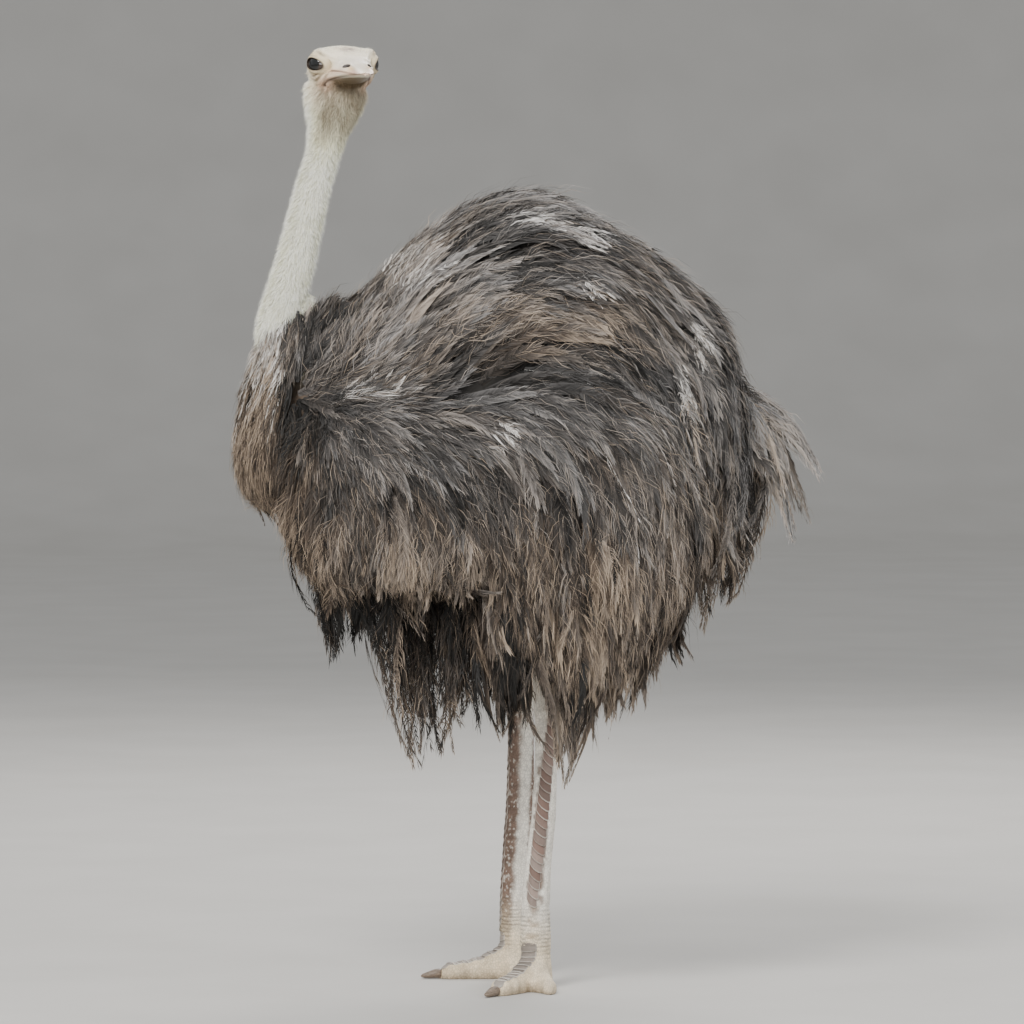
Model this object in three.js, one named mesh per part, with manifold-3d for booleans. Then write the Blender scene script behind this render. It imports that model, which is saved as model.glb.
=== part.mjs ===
// A standing ostrich hen, life size, at rest: body square on both feet, neck raised, head turned back over the
// left shoulder, wings folded low with their plumes hanging. Millimetres, +Z up. The bird faces -X, so its left
// side is -Y. Each solid takes in the feathers that grow on it, out to their tips.
import * as THREE from "three";
import { mergeVertices } from "three/addons/utils/BufferGeometryUtils.js";
import Module from "manifold-3d";

const wasm = await Module();
wasm.setup();

// ---- Driving dimensions ----
const GAP = 0.35; // clearance between two pieces that meet
const BACK_HEIGHT = 1472; // top of the back feathers
const EYE_HEIGHT = 1701;
const HOCK_HEIGHT = 560;
const ANKLE_HEIGHT = 80; // where the toes spring from the shank
const STANCE = 92; // each leg's distance from the middle
const HEAD_AT = [-329, 0, EYE_HEIGHT]; // midway between the eyes
const HEAD_TURN = 105.6; // degrees that the head is turned to the bird's left
const EYE_RADIUS = 26;
const EYE_SPREAD = 41.5; // each eye's centre from the middle of the head
const EYE_FACING = 66; // degrees between the bill and the way an eye looks
const EYE_OPENING = [19, 13]; // half length and half height between the lids
const LID_THICKNESS = 3;
const BILL_BASE = 42; // where the horny bill meets the face, ahead of the eyes
const WING_END = -60; // where the folded wing stops and the draped plumes of the flank start
const WING_SHIFT = { left: [0, 0], right: [76, 40] }; // how far each wing sits back and up
const SIDES = { left: -1, right: 1 }; // which way each side lies along Y

const X_AXIS = new THREE.Vector3(1, 0, 0);
const Y_AXIS = new THREE.Vector3(0, 1, 0);
const Z_AXIS = new THREE.Vector3(0, 0, 1);
const radians = THREE.MathUtils.degToRad;

// ---- Materials ----
const finish = (color, roughness) => new THREE.MeshStandardMaterial({ color, roughness, metalness: 0 });
const MATERIALS = {
  plumage: finish(0x554d48, 0.85),
  darkPlumes: finish(0x2f2926, 0.85),
  breastDown: finish(0x7d6b5a, 0.9),
  neckDown: finish(0xcfc9b4, 0.9),
  face: finish(0xd2c6b6, 0.8),
  bill: finish(0xc9a898, 0.5),
  eye: finish(0x17130f, 0.1),
  thighSkin: finish(0xb59a8a, 0.75),
  scaledSkin: finish(0xc6b8aa, 0.7),
  claw: finish(0x3c332c, 0.5),
};

// ---- Shape makers ----

/** A smooth curve through rows of [place, ...values], as a function of the place. */
function smoothRows(rows) {
  const size = rows[0].length - 1;
  const places = rows.map((row) => row[0]);
  const values = rows.flatMap((row) => row.slice(1));
  const curve = new THREE.CubicInterpolant(places, values, size, new Float32Array(size));
  return (place) => Array.from(curve.evaluate(place));
}

/** How full a ring is near a rounded end: 0 at the end itself, 1 once it is `blunt` of the length away. */
function fullness(t, blunt) {
  const [start, end] = blunt;
  const near = Math.max(0, 1 - t / start, 1 - (1 - t) / end);
  return Math.sqrt(Math.max(0, 1 - near * near));
}

/** One point of an oval ring: a superellipse with its own height above and below the middle. */
function ovalPoint(angle, halfWidth, rise, drop, power) {
  const c = Math.cos(angle);
  const s = Math.sin(angle);
  const across = Math.sign(c) * Math.abs(c) ** (2 / power) * halfWidth;
  const up = Math.sign(s) * Math.abs(s) ** (2 / power) * (s > 0 ? rise : drop);
  return [across, up];
}

/** A closed body whose rings are placed by ringPoint(t, angle), made from a sphere's faces. */
function ringBody(ringPoint, around, along) {
  const shape = new THREE.SphereGeometry(1, around, along);
  const places = shape.getAttribute("position");
  for (let i = 0; i < places.count; i++) {
    const ring = Math.floor(i / (around + 1)) / along;
    const angle = (((i % (around + 1)) % around) / around) * 2 * Math.PI;
    const point = ringPoint(0.5 - 0.5 * Math.cos(Math.PI * ring), angle);
    places.setXYZ(i, point.x, point.y, point.z);
  }
  return shape;
}

/** A body along X with upright rings. Rows are [x, halfWidth, top, bottom]. */
function barrel({ rows, around = 24, along = 16, power = 2, blunt = [0.1, 0.1], grow = 0 }) {
  const size = smoothRows(rows);
  const [start, end] = [rows[0][0], rows[rows.length - 1][0]];
  return ringBody(
    (t, angle) => {
      const x = THREE.MathUtils.lerp(start - grow, end + grow, t);
      const [halfWidth, top, bottom] = size(THREE.MathUtils.clamp(x, start, end));
      const full = fullness(t, blunt);
      const half = ((top - bottom) / 2 + grow) * full;
      const [across, up] = ovalPoint(angle, (halfWidth + grow) * full, half, half, power);
      return new THREE.Vector3(x, across, (top + bottom) / 2 + up);
    },
    around,
    along,
  );
}

/**
 * A body swept along a smooth spine. Rows are [t, halfWidth, rise, drop]. The width lies along `side`. On a
 * spine that runs downwards, rise is towards +X and drop towards -X. `lean` moves the top and bottom edges of
 * each ring sideways, and `ripple` is [count, amount] of scallops along the bottom edge.
 */
function sweep({
  spine,
  rows,
  side = Y_AXIS,
  around = 16,
  along = 12,
  power = 2,
  blunt = [0.1, 0.1],
  lean = [0, 0],
  ripple = [0, 0],
  grow = 0,
}) {
  const curve = new THREE.CatmullRomCurve3(spine.map((p) => new THREE.Vector3(...p)), false, "centripetal");
  const size = smoothRows(rows);
  return ringBody(
    (t, angle) => {
      const tangent = curve.getTangentAt(t);
      const width = side.clone().addScaledVector(tangent, -side.dot(tangent)).normalize();
      const height = tangent.clone().cross(width);
      const [halfWidth, rise, drop] = size(t).map((value) => value + grow);
      const full = fullness(t, blunt);
      const hem = 1 + ripple[1] * Math.cos(2 * Math.PI * ripple[0] * t);
      const [across, up] = ovalPoint(angle, halfWidth * full, rise * full, drop * full * hem, power);
      const leaning = up > 0 ? lean[0] * (up / rise) ** 2 : lean[1] * (up / drop) ** 2;
      return curve
        .getPointAt(t)
        .addScaledVector(width, across + leaning)
        .addScaledVector(height, up)
        .addScaledVector(tangent, t < 0.5 ? -grow : grow);
    },
    around,
    along,
  );
}

/** An ellipsoid with half sizes [x, y, z]. */
function ellipsoid(centre, halves, around = 20, along = 14) {
  return new THREE.SphereGeometry(1, around, along).rotateX(Math.PI / 2).scale(...halves).translate(...centre);
}

// ---- Joining and cutting ----

/** The volume that a set of faces encloses: negative when they point inwards. */
function enclosedVolume(places, index) {
  const [a, b, c] = [new THREE.Vector3(), new THREE.Vector3(), new THREE.Vector3()];
  let sixTimes = 0;
  for (let i = 0; i < index.length; i += 3) {
    a.fromArray(places, index[i] * 3);
    b.fromArray(places, index[i + 1] * 3);
    c.fromArray(places, index[i + 2] * 3);
    sixTimes += a.dot(b.cross(c));
  }
  return sixTimes / 6;
}

/** A three.js geometry as a solid with its faces pointing out. */
function solid(geometry) {
  const bare = geometry.clone();
  bare.deleteAttribute("normal");
  bare.deleteAttribute("uv");
  const merged = mergeVertices(bare, 1e-3);
  const vertProperties = new Float32Array(merged.getAttribute("position").array);
  const triVerts = new Uint32Array(merged.index.array);
  if (enclosedVolume(vertProperties, triVerts) < 0) triVerts.reverse();
  return new wasm.Manifold(new wasm.Mesh({ numProp: 3, vertProperties, triVerts }));
}

/** A solid as a three.js geometry. */
function geometryOf(made) {
  const mesh = made.getMesh();
  const geometry = new THREE.BufferGeometry();
  geometry.setAttribute("position", new THREE.BufferAttribute(new Float32Array(mesh.vertProperties), 3));
  geometry.setIndex(new THREE.BufferAttribute(new Uint32Array(mesh.triVerts), 1));
  return geometry;
}

/** The geometry without the small loose bodies that a cut can leave: only its largest closed body stays. */
function largestBody(geometry) {
  const index = geometry.index.array;
  const places = geometry.getAttribute("position").array;
  const owner = Uint32Array.from({ length: places.length / 3 }, (_, i) => i);
  const ownerOf = (vertex) => {
    while (owner[vertex] !== vertex) vertex = owner[vertex];
    return vertex;
  };
  for (let i = 0; i < index.length; i += 3) {
    const first = ownerOf(index[i]);
    owner[ownerOf(index[i + 1])] = first;
    owner[ownerOf(index[i + 2])] = first;
  }
  const bodies = new Map();
  for (let i = 0; i < index.length; i += 3) {
    const key = ownerOf(index[i]);
    if (!bodies.has(key)) bodies.set(key, []);
    bodies.get(key).push(index[i], index[i + 1], index[i + 2]);
  }
  const sorted = [...bodies.values()].sort((a, b) => enclosedVolume(places, b) - enclosedVolume(places, a));
  const largest = geometry.clone().setIndex(sorted[0]);
  return mergeVertices(largest, 1e-4);
}

const joined = (...geometries) => geometries.map(solid).reduce((all, one) => all.add(one));

/** Everything on one side of a plane through `at`, as a large box on the side that `normal` points to. */
function halfSpace(at, normal) {
  const reach = 4000;
  const shape = new THREE.BoxGeometry(reach, reach, reach).translate(0, 0, reach / 2);
  shape.applyQuaternion(new THREE.Quaternion().setFromUnitVectors(Z_AXIS, normal.clone().normalize()));
  return solid(shape.translate(...at));
}

/** Both sides of a body parted by a thin plane cut. The first result is on the side that normal points to. */
function parted(made, at, normal) {
  const unit = normal.clone().normalize();
  const shifted = (step) => new THREE.Vector3(...at).addScaledVector(unit, step).toArray();
  return [
    made.intersect(halfSpace(shifted(GAP / 2), unit)),
    made.intersect(halfSpace(shifted(-GAP / 2), unit.clone().negate())),
  ];
}

// ---- The model: a group for each region, with each mesh placed at its own pivot ----
const ostrich = new THREE.Group();
const groups = {};
for (const region of ["headAndNeck", "body", "leftWing", "rightWing", "leftLeg", "rightLeg"]) {
  groups[region] = new THREE.Group();
  ostrich.add(groups[region]);
}

function addPiece(region, name, made, material, pivot) {
  const geometry = largestBody(geometryOf(made)).translate(-pivot[0], -pivot[1], -pivot[2]);
  const mesh = new THREE.Mesh(geometry, material);
  mesh.name = name;
  mesh.position.set(...pivot);
  groups[region].add(mesh);
}

// ---- Head, in its own frame: bill towards +X, left side +Y, middle of the eyes at the origin ----
const HEAD_ROWS = [
  [-74, 24, 4, -44],
  [-60, 39, 20, -52],
  [-34, 54, 32, -54],
  [-4, 62, 35, -50],
  [20, 57, 31, -46],
  [36, 46, 23, -42],
  [50, 38, 13, -38],
  [70, 32, 3, -34],
  [92, 27, -5, -31],
  [108, 21, -9, -28],
  [119, 13, -13, -25],
];
const MOUTH_LINE = [
  [6, -40],
  [20, -31],
  [36, -26],
  [60, -24],
  [90, -23],
  [140, -20],
];

const headPlacement = new THREE.Matrix4()
  .makeTranslation(...HEAD_AT)
  .multiply(new THREE.Matrix4().makeRotationZ(radians(180 + HEAD_TURN)));
const headPoint = (x, y, z) => new THREE.Vector3(x, y, z).applyMatrix4(headPlacement).toArray();
const inHeadPlace = (made) => solid(geometryOf(made).applyMatrix4(headPlacement));

const eyeAt = (sign) => [0, sign * EYE_SPREAD, 0];
const eyeball = (sign, radius) => ellipsoid(eyeAt(sign), [radius, radius, radius], 12, 8);

/** A bar through the gap between the lids, along the way the eye looks. */
function lidOpening(sign) {
  const bar = new THREE.CylinderGeometry(1, 0.8, 40, 12).scale(EYE_OPENING[0], 1, EYE_OPENING[1]);
  bar.translate(0, 32, 0).rotateZ(sign < 0 ? Math.PI : 0);
  return bar.rotateZ(-sign * radians(90 - EYE_FACING)).translate(...eyeAt(sign));
}

/** An upright slab that fills the head between two offsets from the mouth line. */
function mouthSlab(from, to) {
  const edge = (offset) => MOUTH_LINE.map(([x, z]) => new THREE.Vector2(x, z + offset));
  const outline = new THREE.Shape([...edge(from), ...edge(to).reverse()]);
  const slab = new THREE.ExtrudeGeometry(outline, { depth: 200, bevelEnabled: false });
  return solid(slab.rotateX(Math.PI / 2).translate(0, 100, 0));
}

/** The head with its lids and nostrils, still whole, in its own frame. */
function wholeHead() {
  const skull = barrel({ rows: HEAD_ROWS, around: 16, along: 13, power: 2.4, blunt: [0.2, 0.1] });
  const mound = (sign) => eyeball(sign, EYE_RADIUS + LID_THICKNESS);
  const nostril = (sign) => ellipsoid([70, sign * 23, -2.6], [8, 4, 4], 8, 5);
  return joined(skull, mound(1), mound(-1)).subtract(joined(nostril(1), nostril(-1)));
}

/** Makes the bill and the eyes. The result is the face, in place, ready to be joined to the neck. */
function addBillAndEyes() {
  const [bill, face] = parted(wholeHead(), [BILL_BASE, 0, 0], X_AXIS);
  const billPivot = headPoint(BILL_BASE, 0, -24);
  const upper = bill.intersect(mouthSlab(GAP / 2, 90));
  const lower = bill.intersect(mouthSlab(-90, -GAP / 2));
  addPiece("headAndNeck", "bill_upper", inHeadPlace(upper), MATERIALS.bill, billPivot);
  addPiece("headAndNeck", "bill_lower", inHeadPlace(lower), MATERIALS.bill, billPivot);
  for (const [side, sign] of [["left", 1], ["right", -1]]) {
    const ball = solid(eyeball(sign, EYE_RADIUS));
    addPiece("headAndNeck", `eye_${side}`, inHeadPlace(ball), MATERIALS.eye, headPoint(...eyeAt(sign)));
  }
  return inHeadPlace(face.subtract(mouthSlab(-GAP, GAP)));
}

/** What is cut from the head for the eyes: a ball-shaped socket and the gap between the lids. */
function eyeCuts() {
  const cut = (sign) => joined(eyeball(sign, EYE_RADIUS + GAP), lidOpening(sign));
  return inHeadPlace(cut(1).add(cut(-1)));
}

// ---- Neck and breast ----
const NECK_SPINE = [
  [-335, 24, 1684],
  [-340, 24, 1640],
  [-345, 20, 1608],
  [-354, 12, 1582],
  [-364, 4, 1545],
  [-371, 0, 1521],
  [-392, 0, 1452],
  [-412, 0, 1361],
  [-456, 0, 1200],
  [-474, 0, 1080],
  [-470, 0, 980],
];
const NECK_ROWS = [
  [0, 26, 34, 36],
  [0.035, 45, 56, 58],
  [0.065, 46, 52, 55],
  [0.105, 42, 43, 46],
  [0.14, 38, 37, 38],
  [0.19, 34, 33, 34],
  [0.24, 32, 32, 32],
  [0.32, 33, 34, 34],
  [0.45, 36, 37, 37],
  [0.68, 43, 42, 43],
  [0.86, 60, 50, 50],
  [1, 70, 50, 50],
];
const BREAST_SPINE = [
  [-462, 0, 1180],
  [-474, 0, 1080],
  [-474, 0, 980],
  [-458, 0, 884],
];
const BREAST_ROWS = [
  [0, 46, 42, 42],
  [0.3, 84, 60, 52],
  [0.65, 118, 70, 60],
  [0.88, 108, 62, 52],
  [1, 90, 50, 38],
];
const neckBody = sweep({ spine: NECK_SPINE, rows: NECK_ROWS, around: 12, along: 16, blunt: [0.03, 0.05] });
const breastBody = (grow) =>
  sweep({ spine: BREAST_SPINE, rows: BREAST_ROWS, around: 12, along: 7, blunt: [0.18, 0.16], grow });

const NECK_UP = new THREE.Vector3(0.27, 0, 1); // along the neck, upwards
const THROAT_AT = [-346, 18, 1602];
const NECK_MIDDLE = [-412, 0, 1385];

function addHeadAndNeck() {
  const whole = addBillAndEyes().add(solid(neckBody)).subtract(eyeCuts());
  const [head, neck] = parted(whole, THROAT_AT, NECK_UP);
  const [upper, lower] = parted(neck, NECK_MIDDLE, NECK_UP);
  addPiece("headAndNeck", "head", head, MATERIALS.face, THROAT_AT);
  addPiece("headAndNeck", "neck_upper", upper, MATERIALS.neckDown, NECK_MIDDLE);
  const bareLower = lower.subtract(solid(breastBody(GAP))).subtract(solid(trunkBody(GAP)));
  addPiece("headAndNeck", "neck_lower", bareLower, MATERIALS.neckDown, NECK_MIDDLE);
}

// ---- Trunk, tail and rump plumes ----
const TRUNK_ROWS = [
  [-470, 100, 1110, 975],
  [-400, 175, 1185, 900],
  [-280, 240, 1300, 800],
  [-168, 275, 1402, 740],
  [-40, 290, BACK_HEIGHT, 712],
  [60, 290, BACK_HEIGHT - 6, 712],
  [150, 282, 1420, 722],
  [230, 260, 1370, 750],
  [314, 222, 1306, 812],
  [370, 182, 1256, 870],
  [409, 140, 1196, 920],
];
const trunkBody = (grow) =>
  barrel({ rows: TRUNK_ROWS, around: 22, along: 16, power: 2.1, blunt: [0.12, 0.05], grow });

/** A hanging bundle of plumes: thick where it springs, flat, and drawn out to a point. */
function plumeBundle({ from, bend, tip, width, depth, grow = 0 }) {
  return sweep({
    spine: [from, bend, tip],
    rows: [
      [0, width * 0.7, depth * 0.8, depth * 0.8],
      [0.35, width, depth, depth],
      [0.75, width * 0.66, depth * 0.62, depth * 0.62],
      [1, 4, 4, 4],
    ],
    around: 6,
    along: 5,
    blunt: [0.15, 0.02],
    grow,
  });
}
const bundles = (list, grow = 0) => joined(...list.map((plumes) => plumeBundle({ ...plumes, grow })));

/** Plumes with the pad of feathers that they all grow from. */
const plumePad = ({ pad, plumes }, grow = 0) =>
  bundles(plumes, grow).add(solid(ellipsoid(pad.centre, pad.halves.map((half) => half + grow), 8, 5)));

const TAIL = {
  pad: { centre: [392, 0, 1032], halves: [44, 96, 46] },
  plumes: [
    { from: [370, 4, 1046], bend: [500, 0, 1030], tip: [585, -8, 912], width: 56, depth: 24 },
    { from: [370, 58, 1030], bend: [496, 66, 985], tip: [570, 74, 786], width: 46, depth: 28 },
    { from: [370, -58, 1024], bend: [462, -66, 960], tip: [506, -72, 778], width: 46, depth: 32 },
  ],
};
const RUMP = {
  pad: { centre: [352, 0, 880], halves: [58, 128, 84] },
  plumes: [
    { from: [372, 4, 950], bend: [414, 4, 880], tip: [436, 4, 772], width: 60, depth: 32 },
    { from: [350, -84, 930], bend: [378, -92, 810], tip: [372, -92, 700], width: 52, depth: 38 },
    { from: [318, -112, 880], bend: [332, -120, 760], tip: [322, -118, 652], width: 46, depth: 36 },
    { from: [350, 88, 930], bend: [372, 96, 800], tip: [362, 96, 690], width: 52, depth: 38 },
  ],
};

// ---- Wings. Lists are for the bird's left; the right side's are mirrored and shifted ----
const WING_SPINE = [
  [-472, 184, 930],
  [-400, 230, 926],
  [-280, 266, 922],
  [-140, 284, 922],
  [-30, 288, 924],
];
const WING_ROWS = [
  [0, 40, 118, 84],
  [0.14, 58, 158, 156],
  [0.42, 70, 180, 178],
  [0.72, 70, 190, 172],
  [1, 56, 180, 156],
];
const DRAPE_SPINE = [
  [-90, 282, 940],
  [50, 284, 940],
  [180, 262, 965],
  [292, 208, 1000],
];
const DRAPE_ROWS = [
  [0, 60, 215, 250],
  [0.35, 68, 242, 290],
  [0.7, 62, 222, 280],
  [1, 46, 150, 200],
];
/** The dark ragged plumes below the front of a wing. */
const UNDER_PLUMES = [
  { from: [-310, 176, 830], bend: [-352, 184, 710], tip: [-378, 180, 606], width: 52, depth: 56 },
  { from: [-262, 186, 800], bend: [-246, 190, 610], tip: [-216, 172, 388], width: 60, depth: 60 },
  { from: [-190, 178, 790], bend: [-172, 178, 600], tip: [-158, 162, 398], width: 56, depth: 46 },
  { from: [-110, 196, 790], bend: [-108, 196, 640], tip: [-102, 182, 470], width: 52, depth: 44 },
];
/** The plumes that hang below the flank, over the thigh and hock. */
const FLANK_PLUMES = [
  { from: [-44, 258, 810], bend: [-62, 256, 640], tip: [-72, 222, 444], width: 50, depth: 50 },
  { from: [36, 262, 800], bend: [44, 260, 590], tip: [50, 228, 370], width: 50, depth: 54 },
  { from: [116, 256, 800], bend: [124, 256, 650], tip: [121, 226, 500], width: 48, depth: 46 },
  { from: [182, 238, 830], bend: [190, 238, 690], tip: [180, 208, 536], width: 46, depth: 50 },
  { from: [240, 204, 870], bend: [252, 206, 750], tip: [248, 180, 622], width: 42, depth: 44 },
];

/** Mirrors and shifts a list of points from the pattern onto one side of the bird. */
const ontoSide = (side, points) => {
  const [back, up] = WING_SHIFT[side];
  return points.map(([x, y, z]) => [x + back, SIDES[side] * y, z + up]);
};
const plumesOntoSide = (side, list) =>
  list.map(({ from, bend, tip, width, depth }) => {
    const [a, b, c] = ontoSide(side, [from, bend, tip]);
    return { from: a, bend: b, tip: c, width, depth };
  });

function wingShapes(side, grow) {
  const toBody = -SIDES[side];
  const shared = { around: 13, blunt: [0.08, 0.04], grow };
  const arm = sweep({
    ...shared,
    spine: ontoSide(side, WING_SPINE),
    rows: WING_ROWS,
    along: 9,
    power: 2.5,
    lean: [46 * toBody, 14 * toBody],
    ripple: [4, 0.03],
  });
  const drape = sweep({
    ...shared,
    spine: ontoSide(side, DRAPE_SPINE),
    rows: DRAPE_ROWS,
    along: 9,
    power: 2.3,
    blunt: [0.06, 0.3],
    lean: [66 * toBody, 20 * toBody],
    ripple: [3, 0.03],
  });
  return { arm: solid(arm), drape: solid(drape), flank: bundles(plumesOntoSide(side, FLANK_PLUMES), grow) };
}

function addBody() {
  const breastGrown = solid(breastBody(GAP));
  const trunkGrown = solid(trunkBody(GAP));
  let covered = trunkGrown;
  for (const side of Object.keys(SIDES)) {
    const { arm, drape, flank } = wingShapes(side, 0);
    const grown = wingShapes(side, GAP);
    const crease = [WING_END + WING_SHIFT[side][0], 0, 0];
    const [rear, front] = parted(arm.add(drape), crease, X_AXIS);
    const wing = front.subtract(grown.flank).subtract(breastGrown);
    covered = covered.add(grown.arm).add(grown.drape).add(grown.flank);
    const under = bundles(plumesOntoSide(side, UNDER_PLUMES)).subtract(covered);
    covered = covered.add(bundles(plumesOntoSide(side, UNDER_PLUMES), GAP));
    const [wrist, fold] = [WING_SPINE[0], DRAPE_SPINE[1]].map((point) => ontoSide(side, [point])[0]);
    const region = `${side}Wing`;
    addPiece(region, `wing_${side}`, wing.subtract(trunkGrown), MATERIALS.plumage, wrist);
    addPiece(region, `wing_${side}_drape`, rear.add(flank).subtract(trunkGrown), MATERIALS.plumage, fold);
    addPiece(region, `wing_${side}_plumes`, under, MATERIALS.darkPlumes, wrist);
  }
  const tail = plumePad(TAIL).subtract(trunkGrown);
  const rump = plumePad(RUMP).subtract(plumePad(TAIL, GAP)).subtract(covered);
  const breast = solid(breastBody(0)).subtract(trunkGrown);
  addPiece("headAndNeck", "breast", breast, MATERIALS.breastDown, [-470, 0, 1000]);
  addPiece("body", "trunk", solid(trunkBody(0)), MATERIALS.plumage, [0, 0, 1090]);
  addPiece("body", "tail", tail, MATERIALS.plumage, [400, 0, 1040]);
  addPiece("body", "rump_plumes", rump, MATERIALS.darkPlumes, [380, 0, 960]);
  return covered.add(plumePad(RUMP, GAP));
}

// ---- Legs and feet ----
const LEGS = {
  left: { hock: 36, ankle: 15, turn: 50, outerTurn: 46 },
  right: { hock: 16, ankle: 8, turn: 2, outerTurn: 40 },
};
const THIGH_ROWS = [
  [0, 70, 96, 96],
  [0.35, 62, 74, 78],
  [0.75, 42, 46, 46],
  [1, 36, 44, 42],
];
const SHANK_ROWS = [
  [0, 36, 44, 42],
  [0.04, 35, 43, 40],
  [0.11, 25, 31, 29],
  [0.2, 20, 26, 24],
  [0.5, 21, 29, 27],
  [0.75, 24, 30, 28],
  [0.9, 28, 32, 30],
  [1, 29, 32, 30],
];
const BIG_TOE_ROWS = [
  [-36, 27, 78],
  [0, 31, 80],
  [30, 30, 62],
  [60, 26, 43],
  [94, 24, 33],
  [128, 22, 29],
  [152, 15, 23],
];
const OUTER_TOE_ROWS = [
  [0, 20, 60],
  [34, 20, 42],
  [66, 18, 30],
  [94, 15, 24],
  [112, 10, 18],
];
const CLAW_ROWS = [
  [138, 10, 20],
  [154, 11, 18],
  [170, 8, 12],
  [182, 4, 8],
];
const SOLE_DEPTH = 10; // how far the toes' round undersides reach below the sole before they are cut flat

/** A toe along its own +X. Rows are [x, halfWidth, top]; under(x) is the height of its underside. */
function toe(rows, under, { around = 10, along = 9, blunt, grow = 0 }) {
  const fullRows = rows.map(([x, halfWidth, top]) => [x, halfWidth, top, under(x)]);
  return barrel({ rows: fullRows, around, along, power: 2.4, blunt, grow });
}

function addLeg(side, plumage) {
  const sign = SIDES[side];
  const { hock, ankle, turn, outerTurn } = LEGS[side];
  const y = sign * STANCE;
  const facing = Math.PI - sign * radians(turn);
  const hockAt = [hock, y, HOCK_HEIGHT];
  const ankleAt = [ankle, y, ANKLE_HEIGHT];
  const drumstick = sweep({
    spine: [[-66, sign * 122, 830], [-10, sign * 108, 700], [hock, y, HOCK_HEIGHT - 30]],
    rows: THIGH_ROWS,
    around: 10,
    along: 7,
    blunt: [0.14, 0.12],
  });
  const shank = sweep({
    spine: [[hock, y, HOCK_HEIGHT + 42], [(hock + ankle) / 2 + 5, y, 330], [ankle, y, 180], [ankle, y, 34]],
    rows: SHANK_ROWS,
    side: new THREE.Vector3(-Math.sin(facing), Math.cos(facing), 0),
    around: 10,
    along: 10,
    power: 2.2,
    blunt: [0.09, 0.04],
  });

  const footPlaced = (geometry, degrees = 0) =>
    solid(geometry.rotateZ(facing - sign * radians(degrees)).translate(ankle, y, 0));
  const underBig = (x) => -SOLE_DEPTH - Math.min(0, x - 60) * -0.42;
  const underOuter = (x) => -SOLE_DEPTH - Math.min(0, x - 30) * -0.5;
  const underClaw = (x) => Math.max(0.4, (x - 166) * 0.12);
  const bigToe = (grow) => footPlaced(toe(BIG_TOE_ROWS, underBig, { blunt: [0.16, 0.14], grow }));
  const outerToe = footPlaced(toe(OUTER_TOE_ROWS, underOuter, { along: 8, blunt: [0.1, 0.2] }), outerTurn);
  const claw = (grow) =>
    footPlaced(toe(CLAW_ROWS, underClaw, { around: 7, along: 5, blunt: [0.1, 0.12], grow }));
  const ground = halfSpace([0, 0, 0], Z_AXIS.clone().negate());

  const legUp = new THREE.Vector3(-0.3, 0, 1);
  const [thigh, below] = parted(joined(drumstick, shank), [hock, y, HOCK_HEIGHT + 24], legUp);
  const [shin] = parted(below, ankleAt, Z_AXIS);
  const [, ankleStub] = parted(solid(shank), ankleAt, Z_AXIS);
  const belowAnkle = halfSpace([0, 0, ANKLE_HEIGHT - GAP / 2], Z_AXIS.clone().negate());
  const foot = bigToe(0).intersect(belowAnkle).add(ankleStub).subtract(ground).subtract(claw(GAP));
  const outer = outerToe.intersect(belowAnkle).subtract(ground).subtract(bigToe(GAP)).subtract(ankleStub);
  const region = `${side}Leg`;
  addPiece(region, `leg_${side}_thigh`, thigh.subtract(plumage), MATERIALS.thighSkin, hockAt);
  addPiece(region, `leg_${side}_shank`, shin, MATERIALS.scaledSkin, hockAt);
  addPiece(region, `foot_${side}_big_toe`, foot, MATERIALS.scaledSkin, [ankle, y, 0]);
  addPiece(region, `foot_${side}_outer_toe`, outer, MATERIALS.scaledSkin, [ankle, y, 0]);
  addPiece(region, `foot_${side}_claw`, claw(0).subtract(ground), MATERIALS.claw, [ankle, y, 0]);
}

addHeadAndNeck();
const plumage = addBody();
for (const side of Object.keys(SIDES)) addLeg(side, plumage);

// The origin is on the ground, under the middle of the whole bird's box.
const box = new THREE.Box3().setFromObject(ostrich, true);
const middle = box.getCenter(new THREE.Vector3());
for (const region of Object.values(groups)) region.position.set(-middle.x, -middle.y, -box.min.z);

export default ostrich;
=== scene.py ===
"""A life-size ostrich hen at rest, with skin, bill, eyes, scutes and feathers, laid out as a Blender add-on.

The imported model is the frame: it says where every piece goes. Lengths are in metres, with +Z up. The bird
faces -X, so its left side is -Y, and its head is turned back over its left shoulder.
"""

import math
from types import SimpleNamespace

import bmesh
import bpy
import numpy as np
from mathutils import Matrix, Vector
from mathutils.bvhtree import BVHTree


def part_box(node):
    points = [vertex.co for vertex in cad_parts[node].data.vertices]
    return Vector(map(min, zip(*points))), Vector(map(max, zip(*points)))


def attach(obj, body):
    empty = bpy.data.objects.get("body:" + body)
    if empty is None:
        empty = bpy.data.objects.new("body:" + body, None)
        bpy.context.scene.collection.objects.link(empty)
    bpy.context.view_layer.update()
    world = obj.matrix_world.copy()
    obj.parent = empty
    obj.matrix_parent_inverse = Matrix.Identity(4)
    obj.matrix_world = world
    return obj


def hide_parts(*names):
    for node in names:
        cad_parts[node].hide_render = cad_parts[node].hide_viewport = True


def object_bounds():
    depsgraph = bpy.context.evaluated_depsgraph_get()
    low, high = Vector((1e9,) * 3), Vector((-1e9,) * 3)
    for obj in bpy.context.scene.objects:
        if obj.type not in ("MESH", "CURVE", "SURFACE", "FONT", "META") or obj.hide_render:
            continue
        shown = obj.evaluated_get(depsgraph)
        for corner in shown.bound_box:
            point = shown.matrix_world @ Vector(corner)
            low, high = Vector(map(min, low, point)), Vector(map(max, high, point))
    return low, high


bl_info = {
    "name": "Ostrich hen",
    "version": (1, 0, 0),
    "blender": (4, 5, 0),
    "location": "View3D > Sidebar > Ostrich",
    "description": "Builds a standing ostrich hen with modelled feathers around its packed frame",
    "category": "Add Mesh",
}

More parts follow.
